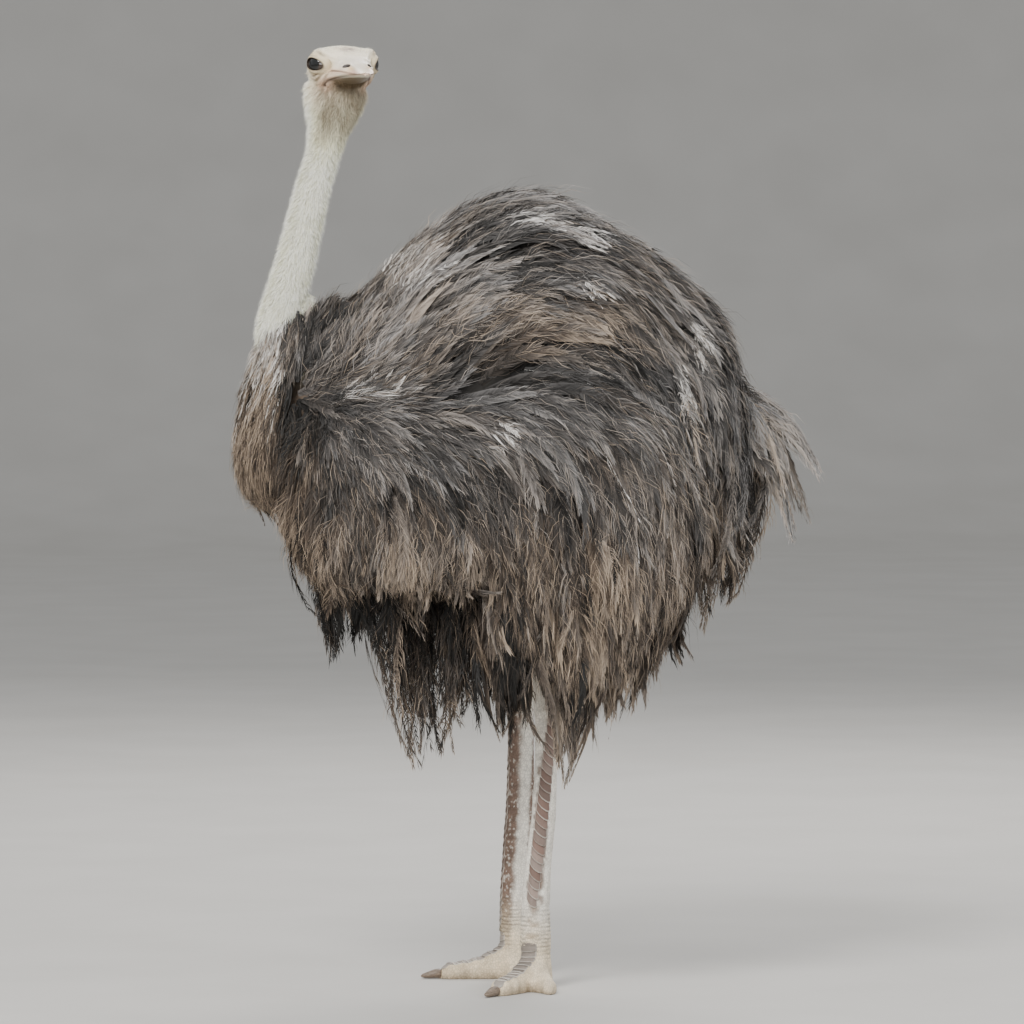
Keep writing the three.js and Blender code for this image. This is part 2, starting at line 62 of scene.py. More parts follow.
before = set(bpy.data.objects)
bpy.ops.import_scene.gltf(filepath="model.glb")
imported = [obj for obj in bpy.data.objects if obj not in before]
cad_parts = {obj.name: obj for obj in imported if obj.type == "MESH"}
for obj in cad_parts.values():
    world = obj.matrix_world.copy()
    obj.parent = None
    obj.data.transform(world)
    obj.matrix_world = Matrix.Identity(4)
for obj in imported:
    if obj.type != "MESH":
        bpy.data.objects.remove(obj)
CAD_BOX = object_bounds()
MM = 0.001
UP = Vector((0, 0, 1))
SIDES = {"left": -1, "right": 1}  # which way each side of the bird lies along Y


# ---- Places worked out from the frame ----


def middle(node):
    low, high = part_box(node)
    return (low + high) / 2


def points_of(mesh):
    points = np.zeros(len(mesh.vertices) * 3)
    mesh.vertices.foreach_get("co", points)
    return points.reshape(-1, 3)


def node_points(name):
    return points_of(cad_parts[name].data)


EYES = {side: middle(f"eye_{side}") for side in SIDES}
HEAD_AT = (EYES["left"] + EYES["right"]) / 2
HEAD_LEFT = (EYES["left"] - EYES["right"]).normalized()
HEAD_FORWARD = HEAD_LEFT.cross(UP).normalized()
HEAD_AXES = np.array([HEAD_FORWARD, HEAD_LEFT, UP])
EYE_RADIUS = (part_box("eye_left")[1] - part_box("eye_left")[0]).z / 2

FLESH = ["trunk", "breast", "neck_lower"]
FLESH += [f"wing_{side}{part}" for side in SIDES for part in ("", "_drape")]
PLUME_NODES = ["tail", "rump_plumes"] + [f"wing_{side}_plumes" for side in SIDES]
HEAD_NODES = ["head", "bill_upper", "bill_lower", "neck_upper", "neck_lower"]
LEG_PARTS = ["leg_{}_thigh", "leg_{}_shank", "foot_{}_big_toe", "foot_{}_outer_toe"]

THROAT_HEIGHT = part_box("head")[0].z
NECK_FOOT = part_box("neck_upper")[0].z - 0.21  # where the pale bristles give way to brown feathers
SHANK_TWIST = {"left": 30, "right": 0}  # degrees that each shank's front turns away from its big toe


def leg_line(side):
    """A leg's ankle on the floor, its knee, the way its big toe points and the twist of its shank."""
    points = node_points(f"leg_{side}_shank")
    low = points[points[:, 2] < points[:, 2].min() + 0.01]
    high = points[points[:, 2] > points[:, 2].max() - 0.01]
    ankle = Vector((low[:, 0].mean(), low[:, 1].mean(), 0))
    toe = middle(f"foot_{side}_claw") - ankle
    forward = Vector((toe.x, toe.y, 0)).normalized()
    twist = math.radians(SHANK_TWIST[side])
    return SimpleNamespace(ankle=ankle, knee=Vector(high.mean(axis=0)), forward=forward, twist=twist)


LEGS = {side: leg_line(side) for side in SIDES}


# ---- Array helpers ----


def unit(vectors):
    return vectors / np.maximum(np.linalg.norm(vectors, axis=-1, keepdims=True), 1e-9)


def dot(a, b):
    return (a * b).sum(axis=-1, keepdims=True)


def smooth(low, high, x):
    """A smooth step from 0 at low to 1 at high."""
    t = np.clip((x - low) / (high - low), 0, 1)
    return t * t * (3 - 2 * t)


def bump(distance, radius):
    """1 at no distance, falling smoothly to 0 by about twice the radius."""
    return np.exp(-((distance / radius) ** 2))


def blend(factor, a, b):
    return a + (b - a) * factor


def lumps(points, size, seed=0):
    """Smooth noise from -1 to 1, with lumps about `size` across."""
    place = points / size
    cell = np.floor(place).astype(np.int64)
    part = place - cell
    part = part * part * (3 - 2 * part)
    total = np.zeros(len(points))
    for corner in np.ndindex(2, 2, 2):
        key = ((cell + corner) * (73856093, 19349663, 83492791)).sum(axis=-1) + seed * 7919
        key = (key ^ (key >> 13)) * 1274126177
        key = (key ^ (key >> 16)) & 0xFFFF
        weight = np.prod(np.where(corner, part, 1 - part), axis=-1)
        total += weight * (key / 32767.5 - 1)
    return total


def streaks(points, size, seed, squash=0.25):
    """Smooth noise from -1 to 1, with lumps that are drawn out upwards."""
    return lumps(points * (1, 1, squash), size, seed)


def from_line(points, line):
    """Each point's distance from a line of straight stretches, and how far along it the nearest place is."""
    best = np.full(len(points), np.inf)
    along = np.zeros(len(points))
    line = np.array(line, float)
    for k, (start, end) in enumerate(zip(line[:-1], line[1:])):
        run = end - start
        t = np.clip(((points - start) @ run) / (run @ run), 0, 1)
        distance = np.linalg.norm(points - start - t[:, None] * run, axis=1)
        nearer = distance < best
        best = np.where(nearer, distance, best)
        along = np.where(nearer, (k + t) / (len(line) - 1), along)
    return best, along


# ---- Mesh helpers ----

MERGE_DISTANCE = 1e-6


def add_object(name, data):
    made = bpy.data.objects.new(name, data)
    bpy.context.scene.collection.objects.link(made)
    return made


def mesh_from(shape, name):
    """A new mesh from a finished bmesh, which is freed."""
    mesh = bpy.data.meshes.new(name)
    shape.to_mesh(mesh)
    shape.free()
    return mesh


def put_back(shape, obj):
    """Writes an edited bmesh back to its object's mesh."""
    shape.to_mesh(obj.data)
    shape.free()
    return obj


def copied_in(shape, names):
    """Adds copies of CAD nodes to a bmesh and merges their loose triangles."""
    for node in names:
        shape.from_mesh(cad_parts[node].data)
    bmesh.ops.remove_doubles(shape, verts=shape.verts, dist=MERGE_DISTANCE)
    return shape


def node_copy(names, name):
    """One object made of copies of CAD nodes."""
    return add_object(name, mesh_from(copied_in(bmesh.new(), names), name))


def with_nodes(obj, names):
    """Adds copies of CAD nodes to an object's mesh."""
    shape = bmesh.new()
    shape.from_mesh(obj.data)
    return put_back(copied_in(shape, names), obj)


def swap_mesh(obj, mesh):
    """Gives an object a new mesh and removes its old one."""
    old, obj.data = obj.data, mesh
    bpy.data.meshes.remove(old)


def modified(obj, kind, **settings):
    """Applies one modifier to an object's mesh."""
    modifier = obj.modifiers.new(kind, kind)
    for key, value in settings.items():
        setattr(modifier, key, value)
    made = bpy.data.meshes.new_from_object(obj.evaluated_get(bpy.context.evaluated_depsgraph_get()))
    obj.modifiers.clear()
    swap_mesh(obj, made)
    return obj


def remeshed(obj, voxel, rounds=0, levels=0):
    """One closed surface round everything in the object, smoothed and then subdivided."""
    modified(obj, "REMESH", mode="VOXEL", voxel_size=voxel)
    if rounds:
        modified(obj, "SMOOTH", factor=0.5, iterations=rounds)
    if levels:
        modified(obj, "SUBSURF", levels=levels, render_levels=levels)
    return obj


def cut_away(shape, place, outward, drop_outer):
    """Cuts a bmesh with a plane, takes away one side of it and closes the cut."""
    geometry = shape.verts[:] + shape.edges[:] + shape.faces[:]
    dropped = {"clear_outer": drop_outer, "clear_inner": not drop_outer}
    cut = bmesh.ops.bisect_plane(shape, geom=geometry, plane_co=place, plane_no=outward, **dropped)
    rims = [part for part in cut["geom_cut"] if isinstance(part, bmesh.types.BMEdge)]
    bmesh.ops.holes_fill(shape, edges=rims)


def normals_of(mesh):
    normals = np.zeros(len(mesh.vertices) * 3)
    mesh.vertex_normals.foreach_get("vector", normals)
    return normals.reshape(-1, 3)


def set_points(mesh, points):
    mesh.vertices.foreach_set("co", points.astype(np.float32).ravel())
    mesh.update()


def set_values(mesh, name, kind, values):
    """Writes an attribute on the points: kind is FLOAT, FLOAT_VECTOR or FLOAT_COLOR."""
    field = {"FLOAT": "value", "FLOAT_VECTOR": "vector", "FLOAT_COLOR": "color"}[kind]
    if kind == "FLOAT_COLOR":
        values = np.concatenate([values, np.ones((len(values), 1))], axis=1)
    attribute = mesh.attributes.new(name, kind, "POINT")
    attribute.data.foreach_set(field, np.ascontiguousarray(values, np.float32).ravel())


def relaxed(mesh, values, rounds):
    """Values on a mesh's points, evened out along its edges."""
    edges = np.zeros(len(mesh.edges) * 2, int)
    mesh.edges.foreach_get("vertices", edges)
    a, b = edges.reshape(-1, 2).T
    count = np.bincount(edges, minlength=len(mesh.vertices))
    for _ in range(rounds):
        total = np.bincount(a, values[b], len(values)) + np.bincount(b, values[a], len(values))
        values = (values + total) / (1 + count)
    return values


def tree_of(obj):
    return BVHTree.FromObject(obj, bpy.context.evaluated_depsgraph_get())


def triangles_of(mesh):
    """A mesh's triangles: their corners, the normals there, their areas and their centres."""
    mesh.calc_loop_triangles()
    corners = np.zeros(len(mesh.loop_triangles) * 3, int)
    mesh.loop_triangles.foreach_get("vertices", corners)
    corners = corners.reshape(-1, 3)
    places, normals = points_of(mesh)[corners], normals_of(mesh)[corners]
    centres = places.mean(axis=1)
    return SimpleNamespace(places=places, normals=normals, areas=areas_of(places), centres=centres)


def areas_of(places):
    """The areas of triangles, from their corners."""
    return np.linalg.norm(np.cross(places[:, 1] - places[:, 0], places[:, 2] - places[:, 0]), axis=1) / 2


def nearest_on(tree, points):
    """For each point, the nearest place on a surface, its normal, the face there and the distance."""
    found = [tree.find_nearest(Vector(point)) for point in points]
    places, normals, faces, distances = zip(*found)
    return np.array(places), np.array(normals), np.array(faces), np.array(distances)


def finished(obj, material, slot, *replaced):
    """Puts a piece on the bird's body, with its material and the CAD nodes that it stands for. Its slot is
    not used.
    """
    obj.data.materials.clear()
    obj.data.materials.append(material)
    obj.data.shade_smooth()
    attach(obj, "root")
    if replaced:
        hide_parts(*replaced)
    return obj


# ---- Shader maths ----


class Shade:
    """A node socket, wrapped so that shader maths is written as an expression."""

    def __init__(self, paint, socket):
        self.paint = paint
        self.socket = socket

    def maths(self, operation, *values):
        return self.paint.node("ShaderNodeMath", {"operation": operation}, dict(enumerate(values)))

    def __add__(self, other):
        return self.maths("ADD", self, other)

    def __sub__(self, other):
        return self.maths("SUBTRACT", self, other)

    def __rsub__(self, other):
        return self.maths("SUBTRACT", other, self)

    def __mul__(self, other):
        return self.maths("MULTIPLY", self, other)

    __radd__ = __add__
    __rmul__ = __mul__

    def held(self):
        """The value kept between 0 and 1."""
        return self.maths("MINIMUM", self.maths("MAXIMUM", self, 0.0), 1.0)

    def step(self, low, high):
        """0 below low and 1 above high, with a smooth slope between."""
        settings = {"interpolation_type": "SMOOTHSTEP"}
        return self.paint.node("ShaderNodeMapRange", settings, {0: self, 1: low, 2: high, 3: 0.0, 4: 1.0})


class Paint:
    """A material in the making: its node tree, its shader and the nodes added to it."""

    def __init__(self, name, **constants):
        self.material = bpy.data.materials.new(name)
        self.material.use_nodes = True
        self.tree = self.material.node_tree
        self.shader = next(n for n in self.tree.nodes if n.type == "BSDF_PRINCIPLED")
        for socket, value in constants.items():
            self.shader.inputs[socket.replace("_", " ")].default_value = value

    def node(self, kind, settings=None, inputs=None, output=0):
        """Adds a node: its settings first, then the values or links of its sockets."""
        made = self.tree.nodes.new(kind)
        for name, value in (settings or {}).items():
            setattr(made, name, value)
        for key, value in (inputs or {}).items():
            if isinstance(value, Shade):
                self.tree.links.new(value.socket, made.inputs[key])
            else:
                made.inputs[key].default_value = value
        return Shade(self, made.outputs[output])

    def place(self):
        return self.node("ShaderNodeTexCoord", output="Object")

    def noise(self, place, scale, detail):
        return self.node("ShaderNodeTexNoise", None, {"Vector": place, "Scale": scale, "Detail": detail})

    def cells(self, place, scale):
        """The distance from the nearest cell edge of a net of scales."""
        settings = {"feature": "DISTANCE_TO_EDGE"}
        return self.node("ShaderNodeTexVoronoi", settings, {"Vector": place, "Scale": scale})

    def stretched(self, place, x, y, z):
        settings = {"operation": "MULTIPLY"}
        return self.node("ShaderNodeVectorMath", settings, {0: place, 1: (x, y, z)})

    def parts(self, vector):
        split = self.node("ShaderNodeSeparateXYZ", None, {0: vector})
        return [Shade(self, split.socket.node.outputs[k]) for k in range(3)]

    def attribute(self, name, output="Fac"):
        return self.node("ShaderNodeAttribute", {"attribute_name": name}, output=output)

    def mix(self, factor, a, b):
        """Colour a where the factor is 0 and colour b where it is 1."""
        a, b = (colour if isinstance(colour, Shade) else (*colour, 1.0) for colour in (a, b))
        return self.node("ShaderNodeMix", {"data_type": "RGBA"}, {0: factor, 6: a, 7: b}, output=2)

    def ramp(self, value, stops):
        """A colour read from stops, each a place from 0 to 1 with its colour."""
        made = self.node("ShaderNodeValToRGB", None, {0: value})
        elements = made.socket.node.color_ramp.elements
        while len(elements) < len(stops):
            elements.new(1.0)
        for element, (place, colour) in zip(elements, stops):
            element.position = place
            element.color = (*colour, 1.0)
        return made

    def scaled(self, colour, value):
        """A colour made brighter or darker by a value."""
        settings = {"operation": "SCALE"}
        return self.node("ShaderNodeVectorMath", settings, {0: colour, "Scale": value})

    def finish(self, colour, roughness=None, height=None, depth=0.001, strength=1.0):
        """Feeds the shader. The height is in units of `depth`, in metres."""
        self.tree.links.new(colour.socket, self.shader.inputs["Base Color"])
        if roughness is not None:
            self.tree.links.new(roughness.socket, self.shader.inputs["Roughness"])
        if height is not None:
            bumps = {"Height": height, "Distance": depth, "Strength": strength}
            normal = self.node("ShaderNodeBump", None, bumps)
            self.tree.links.new(normal.socket, self.shader.inputs["Normal"])
        return self.material


# ---- Settings ----


def colour_property(name, description, default):
    return bpy.props.FloatVectorProperty(
        name=name, description=description, subtype="COLOR", size=3, min=0, max=1, default=default
    )


def length_property(name, description, default):
    return bpy.props.FloatProperty(name=name, description=description, unit="LENGTH", min=0, default=default)


class PlumageSettings(bpy.types.PropertyGroup):
    shadow: colour_property("Shadow", "Colour deep between the feathers", (0.009, 0.008, 0.007))
    slate: colour_property("Slate", "Main colour of the back feathers", (0.066, 0.062, 0.060))
    ash: colour_property("Ash", "Light edges of the slate feathers", (0.31, 0.295, 0.285))
    umber: colour_property("Umber", "Main colour of the brown feathers", (0.078, 0.056, 0.040))
    sand: colour_property("Sand", "Light edges of the brown feathers", (0.43, 0.335, 0.245))
    quill: colour_property("Quill", "Bare quills and white down", (0.83, 0.80, 0.76))
    barb_width: length_property("Barb width", "Width of one barb where it leaves the shaft", 0.0016)
    fullness: bpy.props.FloatProperty(
        name="Fullness", description="Share of the full number of feathers", min=0.05, max=1.0, default=1.0
    )


class SkinSettings(bpy.types.PropertyGroup):
    neck: colour_property("Neck", "Bristles and skin of the neck", (1.0, 0.985, 0.76))
    face: colour_property("Face", "Pale skin and bristles of the face", (0.88, 0.79, 0.62))
    blush: colour_property("Blush", "Pink edge of the bill and the gape", (0.74, 0.50, 0.36))
    # Painted shade over the lower half of the bill
    horn: colour_property("Horn", "Underside of the bill", (0.12, 0.085, 0.045))
    shank: colour_property("Shank", "Skin of the legs", (0.21, 0.14, 0.105))
    chalk: colour_property("Chalk", "Pale chalky bands of the legs", (0.95, 0.90, 0.80))
    scute: colour_property("Scute", "Scutes on the front of the shanks", (0.16, 0.098, 0.076))
    toe: colour_property("Toe", "Dusty skin of the feet", (0.80, 0.66, 0.46))
    claw: colour_property("Claw", "Horn of the claws", (0.10, 0.075, 0.055))
    body_depth: length_property("Body depth", "How deep the skin of the body lies in the plumage", 0.045)
    neck_depth: length_property("Neck depth", "How deep the skin of the neck lies in its bristles", 0.007)


# ---- Markings shared by the skin and the coat ----

# Places where bare quills and white down show, on both sides: x, z, half sizes along x and z, and strength.
WHITE_PATCHES = [
    (-0.029, 1.421, 0.036, 0.013, 1.0),
    (0.066, 1.393, 0.038, 0.012, 0.45),
    (0.069, 1.306, 0.024, 0.012, 0.35),
    (0.272, 1.204, 0.012, 0.034, 0.9),
    (0.240, 1.115, 0.012, 0.050, 0.7),
    (-0.247, 1.332, 0.036, 0.045, 0.45),
    (-0.333, 1.104, 0.045, 0.013, 0.8),
    (-0.110, 1.030, 0.020, 0.030, 0.2),
]


def away_from(points, x, z, half_x, half_z):
    """How far out in a patch on the bird's side each point is: 1 at its rim."""
    return np.hypot((points[:, 0] - x) / half_x, (points[:, 2] - z) / half_z)


def whiteness(points):
    """How much white shows at each point of the body."""
    total = np.zeros(len(points))
    for *patch, strength in WHITE_PATCHES:
        total = np.maximum(total, strength * (1 - smooth(0.6, 1.25, away_from(points, *patch))))
    return total


# Partly painted shade, low down under the wings and in the hollow before the shoulder, and partly the
# plumage's own darker and paler patches.
# Places where the plumage is painted darker or paler: x, z, half sizes along x and z, and how much.
SHADES = [
    (-0.45, 0.985, 0.075, 0.090, -0.26),
    (-0.39, 1.255, 0.050, 0.060, -0.22),
    (-0.34, 0.66, 0.22, 0.095, -0.27),
    (-0.39, 0.65, 0.09, 0.08, -0.25),
    (-0.47, 1.085, 0.035, 0.035, -0.16),
    (-0.25, 0.50, 0.12, 0.17, -0.20),
    (-0.07, 0.60, 0.08, 0.16, -0.06),
    (-0.26, 0.80, 0.20, 0.050, 0.05),
    (-0.26, 0.95, 0.15, 0.09, -0.14),
    (-0.02, 0.88, 0.07, 0.10, 0.02),
    (0.07, 0.98, 0.09, 0.06, 0.06),
    (-0.26, 1.34, 0.16, 0.15, 0.20),
    (-0.36, 1.18, 0.09, 0.06, 0.08),
    (0.01, 1.232, 0.17, 0.040, 0.08),
    (-0.12, 1.145, 0.14, 0.030, -0.12),
    (0.16, 1.22, 0.05, 0.14, -0.10),
    (0.42, 0.85, 0.14, 0.25, 0.13),
    (0.02, 0.80, 0.12, 0.08, -0.06),
    (-0.06, 0.53, 0.13, 0.11, -0.15),
    (-0.13, 0.70, 0.05, 0.09, 0.10),
    (0.02, 0.66, 0.03, 0.08, 0.10),
    (0.20, 0.62, 0.10, 0.10, -0.12),
]


def shading(points):
    """How much paler or darker than usual the plumage is at each point."""
    total = np.zeros(len(points))
    for *patch, amount in SHADES:
        total += amount * (1 - smooth(0.5, 1.3, away_from(points, *patch)))
    return total


BROWN_SWIRL = (0.01, 1.225, 0.19, 0.06)  # the brown patch on the back: x, z and its half sizes along them


def warmth(points):
    """0 where the plumage is slate grey and 1 where it is brown."""
    x, z = points[:, 0], points[:, 2]
    swirl = bump(away_from(points, *BROWN_SWIRL), 1.0)
    low = 1 - smooth(0.70, 1.06, z)
    breast = 1 - smooth(-0.47, -0.42, x)
    return np.clip(0.10 + 0.48 * swirl + 0.62 * low + 0.6 * breast + 0.28 * lumps(points, 0.09, 3), 0, 1)


def to_head(points):
    """Places in the head's own frame, in millimetres: bill towards +X and left side towards +Y."""
    return (points - np.array(HEAD_AT)) @ HEAD_AXES.T / MM


def from_head(places):
    return places * MM @ HEAD_AXES + np.array(HEAD_AT)


# ---- The head, in its own frame, in millimetres. Lists are for its left side; the right mirrors them ----

EYE_FACING = math.radians(66)  # between the bill and the way an eye looks
EYE_CENTRE = np.array([0, (EYES["left"] - HEAD_AT).length / MM, 0])
EYE_OUTWARD = np.array([math.cos(EYE_FACING), math.sin(EYE_FACING), 0])
EYE_FORWARD = np.array([math.sin(EYE_FACING), -math.cos(EYE_FACING), 0])
EYE_OPENING = (19.5, 11.6)  # half length and half height between the lids
LID = 2.8  # how far the lids stand out from the eyeball
SOCKET_DEPTH = 2.5  # how far the skin lies under the eyeball's surface behind the lids
BILL_BASE = 42  # where the horny bill meets the face
GAPE_LINE = [(8, 40, -39), (16, 41, -34), (25, 39, -29), (45, 33, -25)]
MOUTH_LINE = GAPE_LINE + [(60, 29, -23.5), (90, 24, -22), (121, 8, -20)]
BILL_EDGE = [(26, 50, -13), (36, 43, -12), (60, 29, -13.5)]
BILL_EDGE += [(80, 22, -16.5), (100, 15, -18.5), (114, 8, -19.5)]
NOSTRIL, NOSTRIL_HALF, NOSTRIL_RISE = (70, 24, -2.6), (10.5, 7, 4.2), 0.32
EAR, EAR_STRETCH = (-36, 50, -14), (1, 1, 1.3)
CREASES = [
    # points, half width, depth, how dark
    ([(12, 57, 24), (20, 54, 19), (28, 50, 15), (39, 43, 10), (48, 38, 8)], 2.0, 3.6, 1.0),
    ([(-24, 58, 10), (-6, 66, 17), (14, 60, 15), (26, 54, 6)], 1.7, 1.4, 0.45),
    ([(26, 52, -8), (15, 54, -17), (0, 61, -22), (-18, 60, -20)], 1.8, 2.0, 0.65),
    ([(27, 52, -14), (12, 55, -25), (0, 56, -30), (-14, 56, -28)], 2.0, 2.0, 0.60),
    ([(34, 46, -16), (24, 48, -27), (14, 48, -35)], 1.7, 1.6, 0.50),
    ([(66, 15, -4), (84, 14, -10), (104, 11, -15)], 2.4, 1.2, 0.25),
    ([(10, 42, -40), (0, 44, -50), (-8, 42, -62)], 3.0, 1.2, 0.30),
    ([(20, 50, 24), (34, 34, 26), (44, 22, 22)], 2.2, 0.8, 0.18),
]
SWELLINGS = [
    # place, radius, how far it stands out
    ((6, 50, 29), 15, 3.0),
    ((-22, 46, 26), 16, 1.5),
    ((2, 46, -36), 15, 2.0),
    ((36, 40, 0), 10, -2.5),
    ((22, 24, 34), 16, 1.0),
    ((40, 0, 24), 14, -1.2),
    ((70, 22, 3), 8, 1.6),
    ((108, 0, -9), 26, -6.5),
    ((86, 0, -2), 16, -2.0),
    ((86, 0, -36), 34, -4.5),
]


def mirrored(places):
    """Head places with the right side folded over the left."""
    folded = places.copy()
    folded[:, 1] = np.abs(folded[:, 1])
    return folded


def eye_frame(places):
    """Each place as seen from the centre of its side's eye: forwards, up and outwards, in millimetres."""
    away = mirrored(places) - EYE_CENTRE
    return away @ EYE_FORWARD, away[:, 2], away @ EYE_OUTWARD


def lid_shape(along, height):
    """How far out in the eye's opening a place is: 1 at its rim. The opening dips towards its front."""
    height = height + 0.15 * along
    half = np.where(height > 0, EYE_OPENING[1], EYE_OPENING[1] * 0.92)
    return np.hypot(along / EYE_OPENING[0], height / half)


def carve_eyes(places):
    """Opens the lids: the surface drops under the eyeball inside the rim and swells into lids round it."""
    along, height, out = eye_frame(places)
    rim = lid_shape(along, height)
    near = (out > 0) & (rim < 2.2)
    on_rim = near & (np.abs(rim - 1) < 0.09)
    snap = np.where(on_rim, 1 / np.maximum(rim, 0.1), 1.0)
    along, height = along * snap, height * snap
    rim = np.where(on_rim, 1.0, rim)
    eyeball = EYE_RADIUS / MM
    distance = np.sqrt(along**2 + height**2 + out**2)
    lid = eyeball + LID + 0.5 * bump(rim - 1.12, 0.12)
    wished = blend(smooth(1.3, 1.9, rim), lid, distance)
    wished = np.where(rim < 0.99, eyeball - SOCKET_DEPTH, wished)
    flat = np.minimum(np.hypot(along, height), wished * 0.98)
    new_out = np.sqrt(np.maximum(wished**2 - flat**2, 0))
    moved = EYE_CENTRE + along[:, None] * EYE_FORWARD + new_out[:, None] * EYE_OUTWARD
    moved[:, 2] = height
    moved[:, 1] *= np.where(places[:, 1] < 0, -1, 1)
    return np.where(near[:, None], moved, places)


def under_mouth(places):
    """How far below the mouth line a place is, in millimetres: positive on the lower half of the bill."""
    line = np.array(MOUTH_LINE)
    return np.interp(places[:, 0], line[:, 0], line[:, 2]) - places[:, 2]


def line_distance(places, line):
    """How far each head place is from a line on the head's side, whatever its depth, and how far along."""
    squash = np.array([1.0, 0.35, 1.0])
    return from_line(places * squash, np.array(line) * squash)


def nostril_distance(folded):
    """How far out in a nostril a place is: 1 at its rim. The nostrils rise towards the tip of the bill."""
    away = folded - NOSTRIL
    away[:, 2] -= NOSTRIL_RISE * away[:, 0]
    return np.linalg.norm(away / NOSTRIL_HALF, axis=1)


def ear_distance(folded):
    """How far a place is from an ear opening, in millimetres. The openings are taller than long."""
    return np.linalg.norm((folded - EAR) / EAR_STRETCH, axis=1)


def along_fade(along, margin):
    """How strong a crease is along its length: full in the middle and weak at its ends."""
    return np.sin(math.pi * np.clip(along, margin, 1 - margin)) ** 0.5


def carve_face(places, normals):
    """Presses in the mouth, nostrils, ears and creases, and lifts the brows and cheeks."""
    folded = mirrored(places)
    push = np.zeros(len(places))
    for centre, radius, height in SWELLINGS:
        push += height * bump(np.linalg.norm(folded - centre, axis=1), radius)
    for line, width, depth, _ in CREASES:
        distance, along = line_distance(folded, line)
        push -= depth * bump(distance, width) * along_fade(along, 0.06)
        push += 0.45 * depth * bump(distance - 2.2 * width, width)
    below = under_mouth(places)
    beside = smooth(12, 34, folded[:, 0]) * (folded[:, 2] < 10)
    push -= 2.4 * smooth(0.0, 2.5, below) * (1 - smooth(9, 18, below)) * beside
    distance, _ = line_distance(folded, MOUTH_LINE)
    push -= 2.4 * bump(distance, 1.8)
    pit = nostril_distance(folded)
    push += 1.6 * bump(pit - 1.25, 0.4) - 2.5 * bump(pit, 0.9)
    distance, _ = line_distance(folded, BILL_EDGE)
    push += 0.8 * bump(distance - 2.6, 1.8) - 1.5 * bump(distance, 1.5)
    ear = ear_distance(folded)
    push += 1.2 * bump(ear - 7, 2.5) - 4.0 * bump(ear, 3.5)
    return places + normals * push[:, None]


DARK = np.array([0.020, 0.013, 0.010])  # painted shade inside the mouth, nostrils, ears and lids
# Painted shadow: on the throat under the head, and on the chin under the bill
THROAT_SHADOW = (0.27, 0.225, 0.155)
UNDER_BILL_SHADOW = (0.12, 0.085, 0.045)
CROWN_DOWN = (0.34, 0.28, 0.25)
# the lids' yellow, painted shade under the lower lids, and the dark line of the lashes
EYELID, UNDER_EYE_SHADE, LASH_LINE = (0.62, 0.50, 0.29), (0.20, 0.15, 0.085), (0.035, 0.024, 0.018)
CHEEK, LORE = (0.40, 0.29, 0.16), (0.56, 0.43, 0.27)  # below the eye, and between the eye and the bill
# painted shade deeper under the mouth line, on the lower half of the bill
DEEP_BILL_SHADE = (0.11, 0.075, 0.040)
BILL_RIDGE, BILL_TIP = (0.50, 0.44, 0.42), (0.55, 0.37, 0.28)
BILL_AMBER, BILL_RED = (0.74, 0.48, 0.20), (0.52, 0.27, 0.21)  # stains on the side of the bill
FOLD_SHADOW, LIP_SHADOW = (0.09, 0.060, 0.035), (0.10, 0.055, 0.040)


def layered(colour, layers):
    """A colour with layers of paint over it, each given as how much it covers and its own colour."""
    for amount, target in layers:
        colour = blend(np.clip(amount, 0, 1)[:, None], colour, np.array(target))
    return colour


def spot(folded, centre, stretch, radius):
    """A round spot of paint on the head, stretched along some axes."""
    return bump(np.linalg.norm((folded - centre) / stretch, axis=1), radius)


def face_layers(points, folded, fine, mottle):
    """The paint of the throat, crown, lids and cheeks, with painted shadow on the throat and chin under the
    head and bill, and painted shade under the lower lids.
    """
    throat = smooth(-44, -4, folded[:, 0] - 0.35 * folded[:, 1]) * smooth(-20, -44, folded[:, 2])
    throat = throat * smooth(-215, -85, folded[:, 2])
    crown = bump(np.hypot(folded[:, 0] - 20, 0.75 * folded[:, 1]), 13) * smooth(8, 18, folded[:, 2])
    along, height, out = eye_frame(folded)
    rim = lid_shape(along, height)
    round_eye = (out > -6) * 1.0
    return [
        # painted shadow on the throat under the head, broken by drawn-out streaks, then painted shadow under
        # the bill
        (throat * (0.84 + 0.22 * streaks(points, 0.005, 15, 0.22)), THROAT_SHADOW),
        (0.75 * smooth(12, 34, folded[:, 0]) * bump(folded[:, 2] + 42, 16), UNDER_BILL_SHADOW),
        (crown * (0.75 + 0.9 * fine), CROWN_DOWN),
        (0.60 * round_eye * (1 - smooth(1.5, 2.4, rim)), EYELID),
        # painted shade under the lower lid
        (0.55 * round_eye * bump(rim - 1.62, 0.22) * smooth(8, -6, height), UNDER_EYE_SHADE),
        (0.75 * spot(folded, (4, 58, -30), (1.9, 1.2, 1.0), 13) * (0.8 + 0.4 * mottle), CHEEK),
        (0.45 * spot(folded, (36, 46, -4), (1.2, 1.0, 1.2), 12), LORE),
    ]


